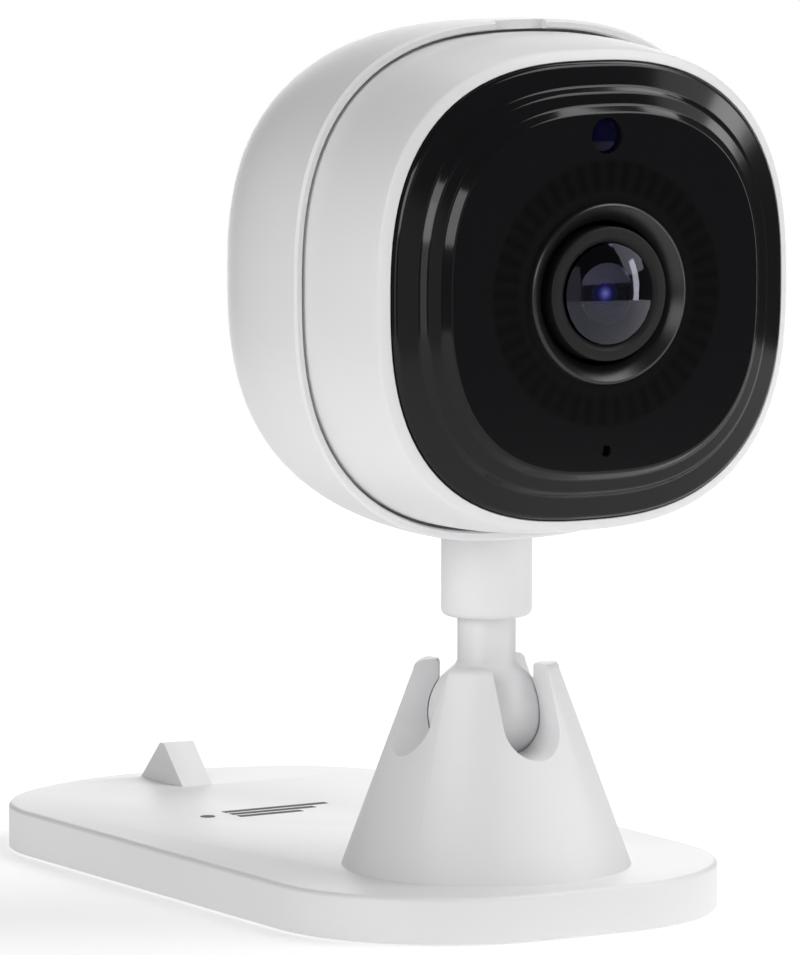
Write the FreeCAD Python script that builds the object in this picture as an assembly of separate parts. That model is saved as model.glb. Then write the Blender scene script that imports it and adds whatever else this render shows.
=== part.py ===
"""Indoor security camera: a square, rounded head that swivels on a ball stud, on a flat weighted stand.

Frame: X across the stand, the lens looks along -Y, the long end of the stand runs along +Y, Z is up.
The origin is on the stem's axis, on the surface that the rubber pad rests on. Sizes are in millimetres.
"""
import FreeCAD, Part
import math
import os

V = FreeCAD.Vector

# ---- gaps ------------------------------------------------------------------------------------
fit_gap = 0.15            # between fixed pieces that are assembled by hand
running_gap = 0.05        # radial, between pieces that turn or slide on each other
ball_gap = 0.12           # radial, between the ball and the socket in the fingers
screw_gap = 0.02          # radial, between a screw's shank and its pilot hole
pilot_spare = 0.5         # pilot hole beyond a screw's tip

# ---- stand -----------------------------------------------------------------------------------
plate_width = 55.0
plate_front = 21.4        # front edge, ahead of the stem's axis
plate_rear = 80.2         # rear edge, behind the stem's axis
plate_thickness = 5.25
front_corner_radius = 21.6
rear_corner_radius = 18.0
rear_edge_radius = 36.0
plate_edge_round = 0.6
plate_top_wall = 1.6
plate_rim_wall = 1.8
pad_proud = 0.25          # how far the rubber pad stands below the moulded rim
pad_thickness = 0.6
pad_margin = 1.2          # from the rim's inner wall to the pad
bottom_cover_thickness = 1.2
ballast_thickness = 2.0
cone_foot_radius = 16.6
cone_slope = 0.368        # radius lost per millimetre of height
cone_height = 23.4        # finger tips above the plate
cone_wall = 2.1
finger_tip_wall = 2.4
finger_tip_round = 0.4    # share of the tip's wall that its rounding is high
slot_width = 7.3
slot_drop = 0.45          # middle of the slot's round bottom, below the ball's middle
slot_count = 4
rest_length = 10.3        # rest wedge near the stand's rear end, along Y
rest_width = 4.1
rest_height = 4.7
rest_ridge = 0.5          # half width of its ridge, and how deep its foot is sunk
rest_setback = 8.15       # from the rear edge to the wedge's middle
base_screw_inset = 6.5    # from the plate's long edge to a screw's axis
base_screw_radius = 0.9
base_screw_head_radius = 1.8
base_screw_head = 0.7
base_boss_radius = 2.4
base_pilot_rise = 0.6     # how far a screw's pilot hole enters the top wall
keyhole_spacing = 34.0
keyhole_front = 26.0      # front keyhole, behind the stem's axis
keyhole_head_radius = 4.2
keyhole_neck_radius = 2.2
keyhole_run = 5.5         # from the large opening's middle to the narrow end's middle
keyhole_pocket = 1.2      # room round a screw's head, in the ballast plate

# ---- ball joint ------------------------------------------------------------------------------
ball_radius = 6.65
ball_height = 17.35       # ball's middle above the plate
lip_height = 3.8          # how far the fingers wrap past the ball's middle
seat_wall = 1.8
neck_radius = 3.335
neck_length = 11.3        # ball's middle to the collar
collar_radius = 5.2
collar_round = 0.8
collar_step = 3.0         # depth of the wide part of the collar's bore
journal_radius = 2.4
swivel_boss_radius = 4.2
swivel_boss_height = 0.9  # above the head's inner floor
washer_radius = 3.9
washer_thickness = 0.5
swivel_screw_radius = 1.0
swivel_screw_length = 6.0
swivel_screw_head_radius = 2.0
swivel_screw_head = 1.3
recess_share = 0.8        # a screw's drive recess, as a share of its shank's radius

# ---- head shells -----------------------------------------------------------------------------
head_rise = 50.1          # lens axis above the ball's middle
head_half = 28.0          # half size of the front shell at the seam
head_power = 2.6          # of the rounded-square section: 2 is a circle
head_points = 32          # points on each rounded-square outline
seam_setback = 7.2        # seam ahead of the stem's axis
front_depth = 13.7        # seam to the front shell's front edge
front_taper = 1.15        # half size lost from the seam to that edge
rim_chamfer = 0.8
rim_width = 1.2
front_wall = 1.6
skirt_depth = 2.6         # part of the front shell that enters the rear shell
seam_gap = 0.35
rear_step = 1.4           # rear shell's rim beyond the front shell
rear_wall = 2.0
rear_depth = 30.0
dome_depth = 34.0         # depth at which the rear shell's curve would close
dome_power = 2.65
rear_round = 2.5
notch_width = 6.6         # pry notch at the top of the rear shell's rim
notch_depth = 0.8
clip_width = 10.0         # snap clips between the two shells
clip_reach = 0.6
clip_depth = 1.2
clip_setback = 0.9        # from the seam
shelf_thickness = 1.2
shelf_bore_radius = 19.4
boss_radius = 2.2

# ---- front window ----------------------------------------------------------------------------
window_gap = 0.1
window_wall = 1.6
gasket_thickness = 0.3
gasket_width = 2.6
window_edge = 1.0         # height of the window's outer edge
window_foot = 1.1         # how far in the slope of its inner face starts, beyond the wall
# each step of the stepped border: how far in from the outline, and how far ahead of it
window_steps = ((0.35, 0.55), (2.7, 1.2), (3.3, 2.2), (4.7, 2.6), (5.5, 3.7))
sensor_setin = 2.5        # light sensor and microphone, in from the flat's edge
light_port_radius = 2.0
light_plug_setback = 0.3
light_stem_share = 0.55   # stem's radius, as a share of the port's
mic_port_radius = 0.65

# ---- lens ------------------------------------------------------------------------------------
trim_radius = 10.1
trim_proud = 0.8
trim_crest = 0.4          # chamfer outside the ring's crest
trim_funnel = 1.6         # depth of the funnel from the crest to the bore
trim_flange = 0.9
trim_sleeve_radius = 9.6
trim_bore_radius = 8.1
hood_radius = 7.5
hood_setback = 0.2        # lens hood behind the trim ring's front face
hood_depth = 5.5
hood_round = 0.3          # chamfer at the hood's front edge
hood_lip = 0.5            # width of the chamfer round the glass
thread_radius = 6.0
thread_length = 10.6
front_glass_radius = 5.6
front_glass_bulge = 1.3
front_glass_roundness = 0.76   # share of the bulge that is left halfway out
front_glass_setback = 0.1 # its rim, behind the hood's front face
front_glass_edge = 1.4
rear_glass_radius = 3.6
rear_glass_thickness = 2.2
rear_glass_setback = 0.3
rear_glass_ledge = 0.4    # width of the ledge that it rests on
lock_ring_radius = 7.6
lock_ring_thickness = 1.6
holder_width = 23.0
holder_height = 16.0
holder_depth = 5.0
holder_tube_radius = 8.2
holder_tube_length = 5.0
slider_length = 13.2
slider_height = 7.4
slider_thickness = 0.8
slider_travel = 6.2
slider_setback = 0.6      # behind it, to the image sensor
slider_cover = 0.4        # wall between the lens's thread and the slideway
filter_size = 5.2
filter_thickness = 0.4
coil_radius = 1.8
coil_core_radius = 1.0
coil_core_setin = 0.4     # core's ends, in from the holder's faces
coil_winding_setin = 0.9
sensor_width = 7.0
sensor_height = 6.2
sensor_thickness = 1.0

# ---- boards ----------------------------------------------------------------------------------
board_margin = 8.0        # half size of the main board, less than the head's
board_hole_inset = 3.5
board_corner = 3.0
board_thickness = 1.2
main_board_y = 1.0        # front face, behind the stem's axis
board_screw_radius = 0.8
board_screw_length = 5.0
board_screw_head_radius = 1.6
board_screw_head = 1.0
sensor_board_half = 13.5
sensor_board_corner = 1.5
sensor_board_gap = 6.2    # between the two boards
standoff_inset = 2.0
standoff_radius = 1.5
led_board_thickness = 1.0
led_board_bore = 8.7
led_count = 8
led_circle_radius = 13.0
led_size = 2.8
led_height = 1.4
led_cap_inset = 0.2
status_led_width = 1.6
status_led_depth = 0.6
status_led_height = 0.8
status_led_gap = 1.2      # beside the light port
status_led_drop = 1.6     # below the light port's middle
processor_size = 12.0
processor_thickness = 1.2
thermal_pad_thickness = 0.8
thermal_pad_margin = 0.5
spreader_size = 20.0
spreader_thickness = 1.0
shield_width = 16.0
shield_height = 11.0
shield_depth = 2.2
ribbon_width = 8.0
ribbon_thickness = 0.3
ribbon_rise = 1.5         # above the main board's lower edge
ribbon_socket_depth = 1.5
ribbon_socket_wall = 0.6
ribbon_socket_margin = 1.0
antenna_length = 16.0
antenna_width = 4.0
antenna_thickness = 0.6
antenna_gap = 1.5         # beside the speaker
antenna_rise = 3.5        # top of the strip, above the speaker's middle

# ---- sound, ports and button on the back -----------------------------------------------------
speaker_radius = 9.0
speaker_depth = 4.4
speaker_drop = 2.0        # below the flat back's upper edge
speaker_rim = 1.0         # width of the basket's rim
speaker_floor = 0.8
magnet_share = 0.6        # magnet's radius, as a share of the speaker's
diaphragm_setback = 0.9
diaphragm_thickness = 0.4
diaphragm_cap = 0.5       # height of its cap
diaphragm_cap_foot = 0.35 # its radius at the foot and at the top, as shares of the speaker's
diaphragm_cap_top = 0.2
speaker_gasket = 0.6
grille_pitch = 2.0
grille_hole_radius = 0.55
grille_radius = 7.2
io_board_thickness = 1.0
io_board_width = 29.0
io_board_length = 16.0
io_board_gap = 0.3        # from the board and the card's socket to the back's inner face
io_row_rise = 7.4         # board above the flat back's lower edge
io_rib_length = 6.0
io_rib_thickness = 1.5
io_rib_spread = 20.0      # between the two ribs that carry the port board
io_connector_width = 12.0
io_connector_height = 2.4
io_connector_overlap = 4.0
usb_width = 7.9
usb_height = 2.9
usb_depth = 7.2
usb_wall = 0.35
usb_floor = 1.2
usb_tongue_share = 0.6    # tongue's width and length, as shares of the inlet's
usb_tongue_thickness = 0.7
usb_side = -9.0
usb_mouth_gap = 0.35
card_width = 11.0
card_length = 15.0
card_thickness = 0.9
card_notch_width = 1.2
card_notch_length = 5.0
card_grip_setin = 1.2
card_grip_share = 0.8     # grip's width, as a share of the card's
card_grip_length = 0.6
card_grip_depth = 0.2
card_recess = 1.0         # card's edge behind the back's outer face
card_side = 6.8
card_socket_wall = 0.35
card_socket_end = 1.0     # cage beyond the card's inner end
button_side = -2.75
button_radius = 1.2
button_flange_radius = 1.6
button_flange = 0.6
button_travel = 0.4
button_recess = 0.2
switch_size = 3.4
switch_depth = 3.4
plunger_length = 0.6
plunger_share = 0.8       # plunger's radius, as a share of the button's
mic_size = 2.4
mic_depth = 1.0

# ---- places that follow from those sizes -----------------------------------------------------
z_plate = pad_proud
z_top = z_plate + plate_thickness
z_cavity = z_top - plate_top_wall
z_bottom_cover = pad_thickness
z_ballast = z_bottom_cover + bottom_cover_thickness + running_gap
z_ball = z_top + ball_height
z_tips = z_top + cone_height
z_collar = z_ball + neck_length
z_head = z_ball + head_rise
y_seam = -seam_setback
y_front = y_seam - front_depth                      # front shell's front edge
y_outline = y_front - rim_chamfer                   # window's outline
y_back = y_seam + rear_depth
y_back_inner = y_back - rear_wall
rear_half = head_half + rear_step
window_half = head_half - front_taper - rim_width - window_gap
window_flat_half = window_half - window_steps[-1][0]
y_window = y_outline - window_steps[-1][1]          # flat of the window
y_shelf_front = y_outline + window_edge + gasket_thickness
y_shelf_rear = y_shelf_front + shelf_thickness
board_half = head_half - board_margin
boss_offset = board_half - board_hole_inset
led_board_radius = boss_offset * math.sqrt(2) - boss_radius - 2 * fit_gap
sensor_offset = window_flat_half - sensor_setin
y_trim = y_window - trim_proud
y_hood = y_trim + hood_setback
y_sensor_board = main_board_y - sensor_board_gap - board_thickness
y_sensor = y_sensor_board - sensor_thickness
y_holder = y_sensor_board - holder_depth
y_tube = y_holder - holder_tube_length
y_slider = y_sensor - slider_setback - slider_thickness
y_io = y_back_inner - io_board_gap - io_board_length


def dome_half(depth):
    """Half size of the rear shell's outside, at a depth behind the seam."""
    return rear_half * (1 - (depth / dome_depth) ** dome_power) ** (1 / dome_power)


def front_half(depth):
    """Half size of the front shell's outside, at a distance ahead of the seam."""
    return head_half - front_taper * (max(depth, 0.0) / front_depth) ** 2.2


back_half = dome_half(rear_depth)
z_io = z_head - back_half + io_row_rise             # top face of the port board
z_speaker = z_head + back_half - speaker_radius - speaker_drop
z_floor = z_head - dome_half(seam_setback) + rear_wall    # head's inner floor at the stem's axis
z_boss = z_floor + swivel_boss_height


# ---- shapes ----------------------------------------------------------------------------------
def block(x, y, z, width, depth, height):
    """Box by its middle in X, its front (least) Y and its lower Z."""
    return Part.makeBox(width, depth, height, V(x - width / 2, y, z))


def rod(radius, y, length, x=0.0, z=None):
    """Cylinder along +Y from y, on the lens axis unless placed."""
    height = z_head if z is None else z
    return Part.makeCylinder(radius, length, V(x, y, height), V(0, 1, 0))


def post(radius, z, height, x=0.0, y=0.0):
    """Cylinder along +Z from z."""
    return Part.makeCylinder(radius, height, V(x, y, z))


def squircle(half, y):
    """Rounded-square outline round the lens axis at a depth y."""
    points = []
    for i in range(head_points):
        turn = 2 * math.pi * i / head_points
        c, s = math.cos(turn), math.sin(turn)
        radius = half / (abs(c) ** head_power + abs(s) ** head_power) ** (1 / head_power)
        points.append(V(radius * c, y, z_head + radius * s))
    curve = Part.BSplineCurve()
    curve.interpolate(Points=points, PeriodicFlag=True)
    return Part.Wire([curve.toShape()])


def squircle_loft(stations, ruled=False):
    """Solid through rounded squares, given as (y, half size) pairs."""
    return Part.makeLoft([squircle(half, y) for y, half in stations], True, ruled)


def squircle_slab(half, y, depth):
    return squircle_loft([(y, half), (y + depth, half)], True)


def turned(profile, axis_point, axis):
    """Solid of revolution of a closed wire."""
    return Part.Face(profile).revolve(axis_point, axis, 360)


def arc(a, b, c):
    return Part.Arc(a, b, c).toShape()


def line(a, b):
    return Part.makeLine(a, b)


def corners(offset):
    """The four corner places, as (x, z) pairs round the lens axis."""
    return [(sx * offset, z_head + sz * offset) for sx in (-1, 1) for sz in (-1, 1)]


def rounded_slot(width, height, x, y, z, depth):
    """Stadium-ended prism along Y: width across X, height along Z, middle at (x, z)."""
    radius = height / 2
    reach = (width - height) / 2
    body = block(x, y, z - radius, 2 * reach, depth, height)
    return body.multiFuse([rod(radius, y, depth, x - reach, z), rod(radius, y, depth, x + reach, z)])


# ---- stand -----------------------------------------------------------------------------------
def plate_outline(inset, z):
    """Stand's outline: straight sides, round front, rounded rear corners and a bowed rear edge."""
    half = plate_width / 2 - inset
    front_r = front_corner_radius - inset
    rear_r = rear_corner_radius - inset
    edge_r = rear_edge_radius - inset
    front_y = -plate_front + inset
    rear_y = plate_rear - inset
    front_x = half - front_r
    rear_x = half - rear_r
    edge_c = rear_y - edge_r
    rear_c = edge_c + math.sqrt((edge_r - rear_r) ** 2 - rear_x ** 2)
    lean = math.atan2(rear_c - edge_c, rear_x)

    def at(x, y, radius, turn):
        return V(x + radius * math.cos(turn), y + radius * math.sin(turn), z)

    def mirrored(p):
        return V(-p.x, p.y, p.z)

    front_c = front_y + front_r
    right = [
        [at(front_x, front_c, front_r, t) for t in (-math.pi / 2, -math.pi / 4, 0)],
        [at(rear_x, rear_c, rear_r, t) for t in (0, lean / 2, lean)],
    ]
    edges = [
        arc(*right[0]), line(right[0][2], right[1][0]), arc(*right[1]),
        arc(right[1][2], V(0, rear_y, z), mirrored(right[1][2])),
        arc(mirrored(right[1][2]), mirrored(right[1][1]), mirrored(right[1][0])),
        line(mirrored(right[1][0]), mirrored(right[0][2])),
        arc(mirrored(right[0][2]), mirrored(right[0][1]), mirrored(right[0][0])),
        line(mirrored(right[0][0]), right[0][0]),
    ]
    return Part.Wire(edges)


def plate_slab(inset, z, height):
    return Part.Face(plate_outline(inset, z)).extrude(V(0, 0, height))


def cone_radius(z):
    return cone_foot_radius - cone_slope * (z - z_top)


def socket_tower():
    """Cone with its rounded finger tips, its hollow foot and the ball's seat."""
    tip_outer = cone_radius(z_tips)
    tip_inner = tip_outer - finger_tip_wall
    tip_drop = finger_tip_wall * finger_tip_round
    profile = Part.Wire([
        line(V(0, 0, z_cavity), V(cone_foot_radius, 0, z_cavity)),
        line(V(cone_foot_radius, 0, z_cavity), V(cone_foot_radius, 0, z_top)),
        line(V(cone_foot_radius, 0, z_top), V(cone_radius(z_tips - tip_drop), 0, z_tips - tip_drop)),
        arc(V(cone_radius(z_tips - tip_drop), 0, z_tips - tip_drop),
            V((tip_outer + tip_inner) / 2, 0, z_tips), V(tip_inner, 0, z_tips - tip_drop)),
        line(V(tip_inner, 0, z_tips - tip_drop), V(0, 0, z_tips - tip_drop)),
        line(V(0, 0, z_tips - tip_drop), V(0, 0, z_cavity)),
    ])
    tower = turned(profile, V(0, 0, 0), V(0, 0, 1))

    z_seat = z_ball - ball_radius - ball_gap - seat_wall
    hollow = Part.makeCone(cone_foot_radius - cone_wall, cone_radius(z_seat) - cone_wall,
                           z_seat - z_cavity, V(0, 0, z_cavity))
    socket_r = ball_radius + ball_gap
    lip_r = math.sqrt(socket_r ** 2 - lip_height ** 2)
    socket = Part.makeSphere(socket_r, V(0, 0, z_ball))
    flare_height = z_tips - z_ball - lip_height
    flare = Part.makeCone(lip_r, tip_inner, flare_height, V(0, 0, z_ball + lip_height))
    above = Part.makeBox(4 * socket_r, 4 * socket_r, flare_height,
                         V(-2 * socket_r, -2 * socket_r, z_ball + lip_height))
    tower = tower.cut(hollow)
    tower = tower.cut(socket.cut(above))
    tower = tower.cut(flare)
    z_slot = z_ball - slot_drop
    for i in range(slot_count):
        slot = Part.makeBox(cone_foot_radius, slot_width, cone_height, V(0, -slot_width / 2, z_slot))
        end = Part.makeCylinder(slot_width / 2, cone_foot_radius, V(0, 0, z_slot), V(1, 0, 0))
        cutter = slot.fuse(end)
        cutter.rotate(V(0, 0, 0), V(0, 0, 1), 360 / slot_count * i)
        tower = tower.cut(cutter)
    return tower, hollow


def base_screw_places():
    x = plate_width / 2 - base_screw_inset
    rear_y = plate_rear - rear_corner_radius
    return [(sx * x, y) for sx in (-1, 1) for y in (0.0, rear_y)]


def keyhole_places():
    return [keyhole_front, keyhole_front + keyhole_spacing]


def keyhole(z, height, extra=0.0):
    """Both hanging slots: a round opening for a screw's head and a narrow run for its neck."""
    shapes = []
    for y in keyhole_places():
        head_y = y + keyhole_run
        shapes.append(post(keyhole_head_radius + extra, z, height, 0, head_y))
        shapes.append(post(keyhole_neck_radius + extra, z, height, 0, y))
        shapes.append(Part.makeBox(2 * (keyhole_neck_radius + extra), keyhole_run, height,
                                   V(-keyhole_neck_radius - extra, y, z)))
    return shapes[0].multiFuse(shapes[1:])


def rest_wedge():
    """Low wedge near the rear edge, with its ridge across the stand."""
    y = plate_rear - rest_setback
    reach = rest_length / 2
    side = [(-reach, -rest_ridge), (-reach, 0), (-rest_ridge, rest_height),
            (rest_ridge, rest_height), (reach, 0), (reach, -rest_ridge)]
    points = [V(-rest_width / 2, y + along, z_top + rise) for along, rise in side]
    return Part.Face(Part.makePolygon(points + points[:1])).extrude(V(rest_width, 0, 0))


def base_cover():
    plate = plate_slab(0, z_plate, plate_thickness)
    top_edges = [e for e in plate.Edges if e.BoundBox.ZMin > z_top - 0.01]
    plate = plate.makeFillet(plate_edge_round, top_edges)
    plate = plate.cut(plate_slab(plate_rim_wall, z_plate, z_cavity - z_plate))
    tower, hollow = socket_tower()
    opening = post(cone_foot_radius - cone_wall, z_cavity, plate_top_wall)
    plate = plate.cut(opening)
    z_boss_foot = z_bottom_cover + bottom_cover_thickness
    boss_height = z_cavity - z_boss_foot
    bosses = [post(base_boss_radius, z_boss_foot, boss_height, x, y) for x, y in base_screw_places()]
    ring = tower.cut(Part.makeBox(4 * cone_foot_radius, 4 * cone_foot_radius, z_top - z_cavity,
                                  V(-2 * cone_foot_radius, -2 * cone_foot_radius, z_cavity)))
    foot = post(cone_foot_radius, z_cavity, plate_top_wall).cut(hollow)
    cover = plate.multiFuse([ring, foot, rest_wedge()] + bosses)
    for x, y in base_screw_places():
        pilot = post(base_screw_radius + screw_gap, z_boss_foot, boss_height + base_pilot_rise, x, y)
        cover = cover.cut(pilot)
    return cover.removeSplitter()


def ballast_plate():
    plate = plate_slab(plate_rim_wall + fit_gap, z_ballast, ballast_thickness)
    for x, y in base_screw_places():
        plate = plate.cut(post(base_boss_radius + fit_gap, z_ballast, ballast_thickness, x, y))
    return plate.cut(keyhole(z_ballast, ballast_thickness, keyhole_pocket))


def base_bottom():
    plate = plate_slab(plate_rim_wall + fit_gap, z_bottom_cover, bottom_cover_thickness)
    for x, y in base_screw_places():
        plate = plate.cut(post(base_screw_head_radius + fit_gap, z_bottom_cover, base_screw_head, x, y))
        plate = plate.cut(post(base_screw_radius + fit_gap, z_bottom_cover, bottom_cover_thickness, x, y))
    return plate.cut(keyhole(z_bottom_cover, bottom_cover_thickness))


def base_screws():
    screws = []
    length = z_cavity - z_bottom_cover - base_screw_head
    for x, y in base_screw_places():
        head = post(base_screw_head_radius, z_bottom_cover + running_gap, base_screw_head - running_gap, x, y)
        shank = post(base_screw_radius, z_bottom_cover + base_screw_head, length, x, y)
        recess = post(base_screw_radius / 2, z_bottom_cover + running_gap, base_screw_head / 2, x, y)
        screws.append(head.fuse(shank).cut(recess))
    return Part.makeCompound(screws)


def anti_slip_pad():
    pad = plate_slab(plate_rim_wall + pad_margin, 0, pad_thickness)
    return pad.cut(keyhole(0, pad_thickness, fit_gap))


# ---- ball joint ------------------------------------------------------------------------------
def ball_stud():
    """Ball, neck and the stepped journal that the head turns on."""
    reach = math.sqrt(ball_radius ** 2 - neck_radius ** 2)
    z_step = z_collar + collar_step
    z_end = z_boss + running_gap
    profile = Part.Wire([
        arc(V(0, 0, z_ball - ball_radius), V(ball_radius, 0, z_ball), V(neck_radius, 0, z_ball + reach)),
        line(V(neck_radius, 0, z_ball + reach), V(neck_radius, 0, z_step)),
        line(V(neck_radius, 0, z_step), V(journal_radius, 0, z_step)),
        line(V(journal_radius, 0, z_step), V(journal_radius, 0, z_end)),
        line(V(journal_radius, 0, z_end), V(0, 0, z_end)),
        line(V(0, 0, z_end), V(0, 0, z_ball - ball_radius)),
    ])
    stud = turned(profile, V(0, 0, 0), V(0, 0, 1))
    depth = swivel_screw_length + pilot_spare
    return stud.cut(post(swivel_screw_radius + screw_gap, z_end - depth, depth))


def swivel_washer():
    z = z_boss + running_gap
    hole = post(swivel_screw_radius + fit_gap, z, washer_thickness)
    return post(washer_radius, z, washer_thickness).cut(hole)


def swivel_screw():
    z = z_boss + running_gap + washer_thickness
    head = post(swivel_screw_head_radius, z, swivel_screw_head)
    shank = post(swivel_screw_radius, z - swivel_screw_length, swivel_screw_length)
    recess = post(swivel_screw_radius * recess_share, z + swivel_screw_head / 2, swivel_screw_head / 2)
    return head.fuse(shank).cut(recess)


# ---- head shells -----------------------------------------------------------------------------
def dome(inset, start, end, steps=9):
    """Rear shell's outside, or its inside when inset by the wall, between two depths behind the seam."""
    stations = []
    for i in range(steps):
        depth = start + (end - start) * i / (steps - 1)
        stations.append((y_seam + depth, dome_half(depth) - inset))
    return squircle_loft(stations)


def clips(gap, reach):
    """Snap clips at the sides and the top of the front shell's skirt, grown by a gap to cut their pockets."""
    y = y_seam + clip_setback - gap
    depth = clip_depth + 2 * gap
    start = head_half - front_wall / 2
    span = front_wall / 2 + reach
    side = Part.makeBox(span, depth, clip_width + 2 * gap, V(start, y, z_head - clip_width / 2 - gap))
    shapes = []
    for turn in (0, -90, 180):
        clip = side.copy()
        clip.rotate(V(0, 0, z_head), V(0, 1, 0), turn)
        shapes.append(clip)
    return shapes


def usb_place():
    return usb_side, z_io + usb_height / 2


def card_z():
    """Middle of the card's thickness."""
    return z_io + card_socket_wall + running_gap + card_thickness / 2


def button_z():
    return z_io + switch_size / 2


def grille_places():
    """Holes in staggered rows inside a circle over the speaker."""
    places = []
    rows = int(grille_radius / (grille_pitch * math.sqrt(3) / 2))
    for row in range(-rows, rows + 1):
        z = row * grille_pitch * math.sqrt(3) / 2
        shift = (row % 2) * grille_pitch / 2
        columns = int(grille_radius / grille_pitch) + 1
        for column in range(-columns, columns + 1):
            x = column * grille_pitch + shift
            if math.hypot(x, z) <= grille_radius:
                places.append((x, z_speaker + z))
    return places


def rear_shell():
    shell = dome(0, 0, rear_depth)
    back_edges = [e for e in shell.Edges if e.BoundBox.YMin > y_back - 0.01]
    shell = shell.makeFillet(rear_round, back_edges)
    top = z_head - dome_half(seam_setback) / 2
    collar = post(collar_radius, z_collar, top - z_collar)
    foot_edges = [e for e in collar.Edges if e.BoundBox.ZMax < z_collar + 0.01]
    collar = collar.makeFillet(collar_round, foot_edges)
    shell = shell.fuse(collar)
    shell = shell.cut(dome(rear_wall, 0, rear_depth - rear_wall))
    shell = shell.cut(squircle_slab(head_half + seam_gap, y_seam, skirt_depth + seam_gap))
    shell = shell.fuse(post(swivel_boss_radius, z_floor - rear_wall / 2, z_boss - z_floor + rear_wall / 2))
    z_step = z_collar + collar_step
    shell = shell.cut(post(neck_radius + running_gap, z_collar, collar_step + running_gap))
    shell = shell.cut(post(journal_radius + running_gap, z_step, z_boss - z_step))
    shell = shell.cut(block(0, y_seam, z_head + head_half, notch_width, notch_depth, 2 * rear_step))
    shell = shell.cut(Part.makeCompound(clips(fit_gap, clip_reach + fit_gap)))
    z_rib = z_io - io_board_thickness - io_rib_thickness
    ribs = [block(side * io_rib_spread / 2, y_back_inner - io_rib_length, z_rib,
                  io_rib_thickness, io_rib_length + rear_wall / 2, io_rib_thickness) for side in (-1, 1)]
    shell = shell.multiFuse(ribs)

    x, z = usb_place()
    mouth = 2 * rear_wall
    shell = shell.cut(rounded_slot(usb_width + 2 * usb_mouth_gap, usb_height + 2 * usb_mouth_gap,
                                   x, y_back - mouth, z, 2 * mouth))
    card_slot = block(card_side, y_back - mouth, card_z() - card_thickness / 2 - running_gap,
                      card_width + 2 * running_gap, 2 * mouth, card_thickness + 2 * running_gap)
    shell = shell.cut(card_slot)
    thumb = rod(card_width / 3, y_back - card_recess, 2 * card_recess, card_side, card_z())
    shell = shell.cut(thumb)
    shell = shell.cut(rod(button_radius + running_gap, y_back - mouth, 2 * mouth, button_side, button_z()))
    holes = [rod(grille_hole_radius, y_back - mouth, 2 * mouth, hx, hz) for hx, hz in grille_places()]
    return shell.cut(Part.makeCompound(holes))


def front_shell():
    steps = 8
    stations = [(y_seam + skirt_depth, head_half), (y_seam + skirt_depth / 2, head_half)]
    for i in range(steps):
        depth = front_depth * i / (steps - 1)
        stations.append((y_seam - depth, front_half(depth)))
    outside = squircle_loft(stations)
    edge_half = front_half(front_depth)
    rim = squircle_loft([(y_front, edge_half), (y_outline, edge_half - rim_width)], True)
    shell = outside.fuse(rim)
    inside = [(y, half - front_wall) for y, half in stations[:-2]]
    last = y_seam - y_shelf_rear
    inside.append((y_shelf_rear, front_half(last) - front_wall))
    shell = shell.cut(squircle_loft(inside))
    y_mouth = y_outline - rim_chamfer
    shell = shell.cut(squircle_slab(window_half + window_gap, y_mouth, y_shelf_front - y_mouth))
    shell = shell.cut(rod(shelf_bore_radius, y_outline, y_shelf_rear - y_outline + fit_gap))
    length = main_board_y - y_shelf_rear
    bosses = [rod(boss_radius, y_shelf_rear - shelf_thickness / 2, length + shelf_thickness / 2, x, z)
              for x, z in corners(boss_offset)]
    shell = shell.multiFuse(bosses + clips(0, clip_reach))
    for x, z in corners(boss_offset):
        depth = board_screw_length
        shell = shell.cut(rod(board_screw_radius + screw_gap, main_board_y - depth, depth, x, z))
    return shell


def front_window():
    """Stepped glossy cover: a moulded border that rises to the flat round the lens."""
    outside = [(y_outline + window_edge, window_half), (y_outline, window_half)]
    outside += [(y_outline - rise, window_half - inset) for inset, rise in window_steps]
    inside = [(y_outline + window_edge, window_half - window_wall),
              (y_outline, window_half - window_wall - window_foot),
              (y_window + window_wall, window_flat_half - window_wall / 2)]
    window = squircle_loft(outside, True).cut(squircle_loft(inside, True))
    window = window.cut(rod(trim_sleeve_radius + running_gap, y_window - 1, window_wall + 2))
    window = window.cut(rod(light_port_radius, y_window - 1, window_wall + 2, 0, z_head + sensor_offset))
    return window.cut(rod(mic_port_radius, y_window - 1, window_wall + 2, 0, z_head - sensor_offset))


def window_gasket():
    y = y_outline + window_edge
    ring = squircle_slab(window_half, y, gasket_thickness)
    return ring.cut(squircle_slab(window_half - gasket_width, y, gasket_thickness))


# ---- lens and sensor -------------------------------------------------------------------------
def turned_on_lens_axis(points):
    """Ring or disc turned round the lens axis, from (radius, y) points."""
    corners_3d = [V(radius, y, z_head) for radius, y in points]
    return turned(Part.makePolygon(corners_3d + corners_3d[:1]), V(0, 0, z_head), V(0, 1, 0))


def lens_trim_ring():
    """Raised ring with a funnel inside its crest and a sleeve through the window."""
    y_seat = y_window
    y_end = y_window + window_wall + trim_flange
    return turned_on_lens_axis([
        (trim_radius, y_seat), (trim_radius, y_trim + trim_crest), (trim_radius - trim_crest, y_trim),
        (trim_bore_radius, y_trim + trim_funnel), (trim_bore_radius, y_end),
        (trim_sleeve_radius, y_end), (trim_sleeve_radius, y_seat)])


def glass_seat_y():
    """Rear face of the front glass, inside the hood."""
    return y_hood + front_glass_edge


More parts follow.
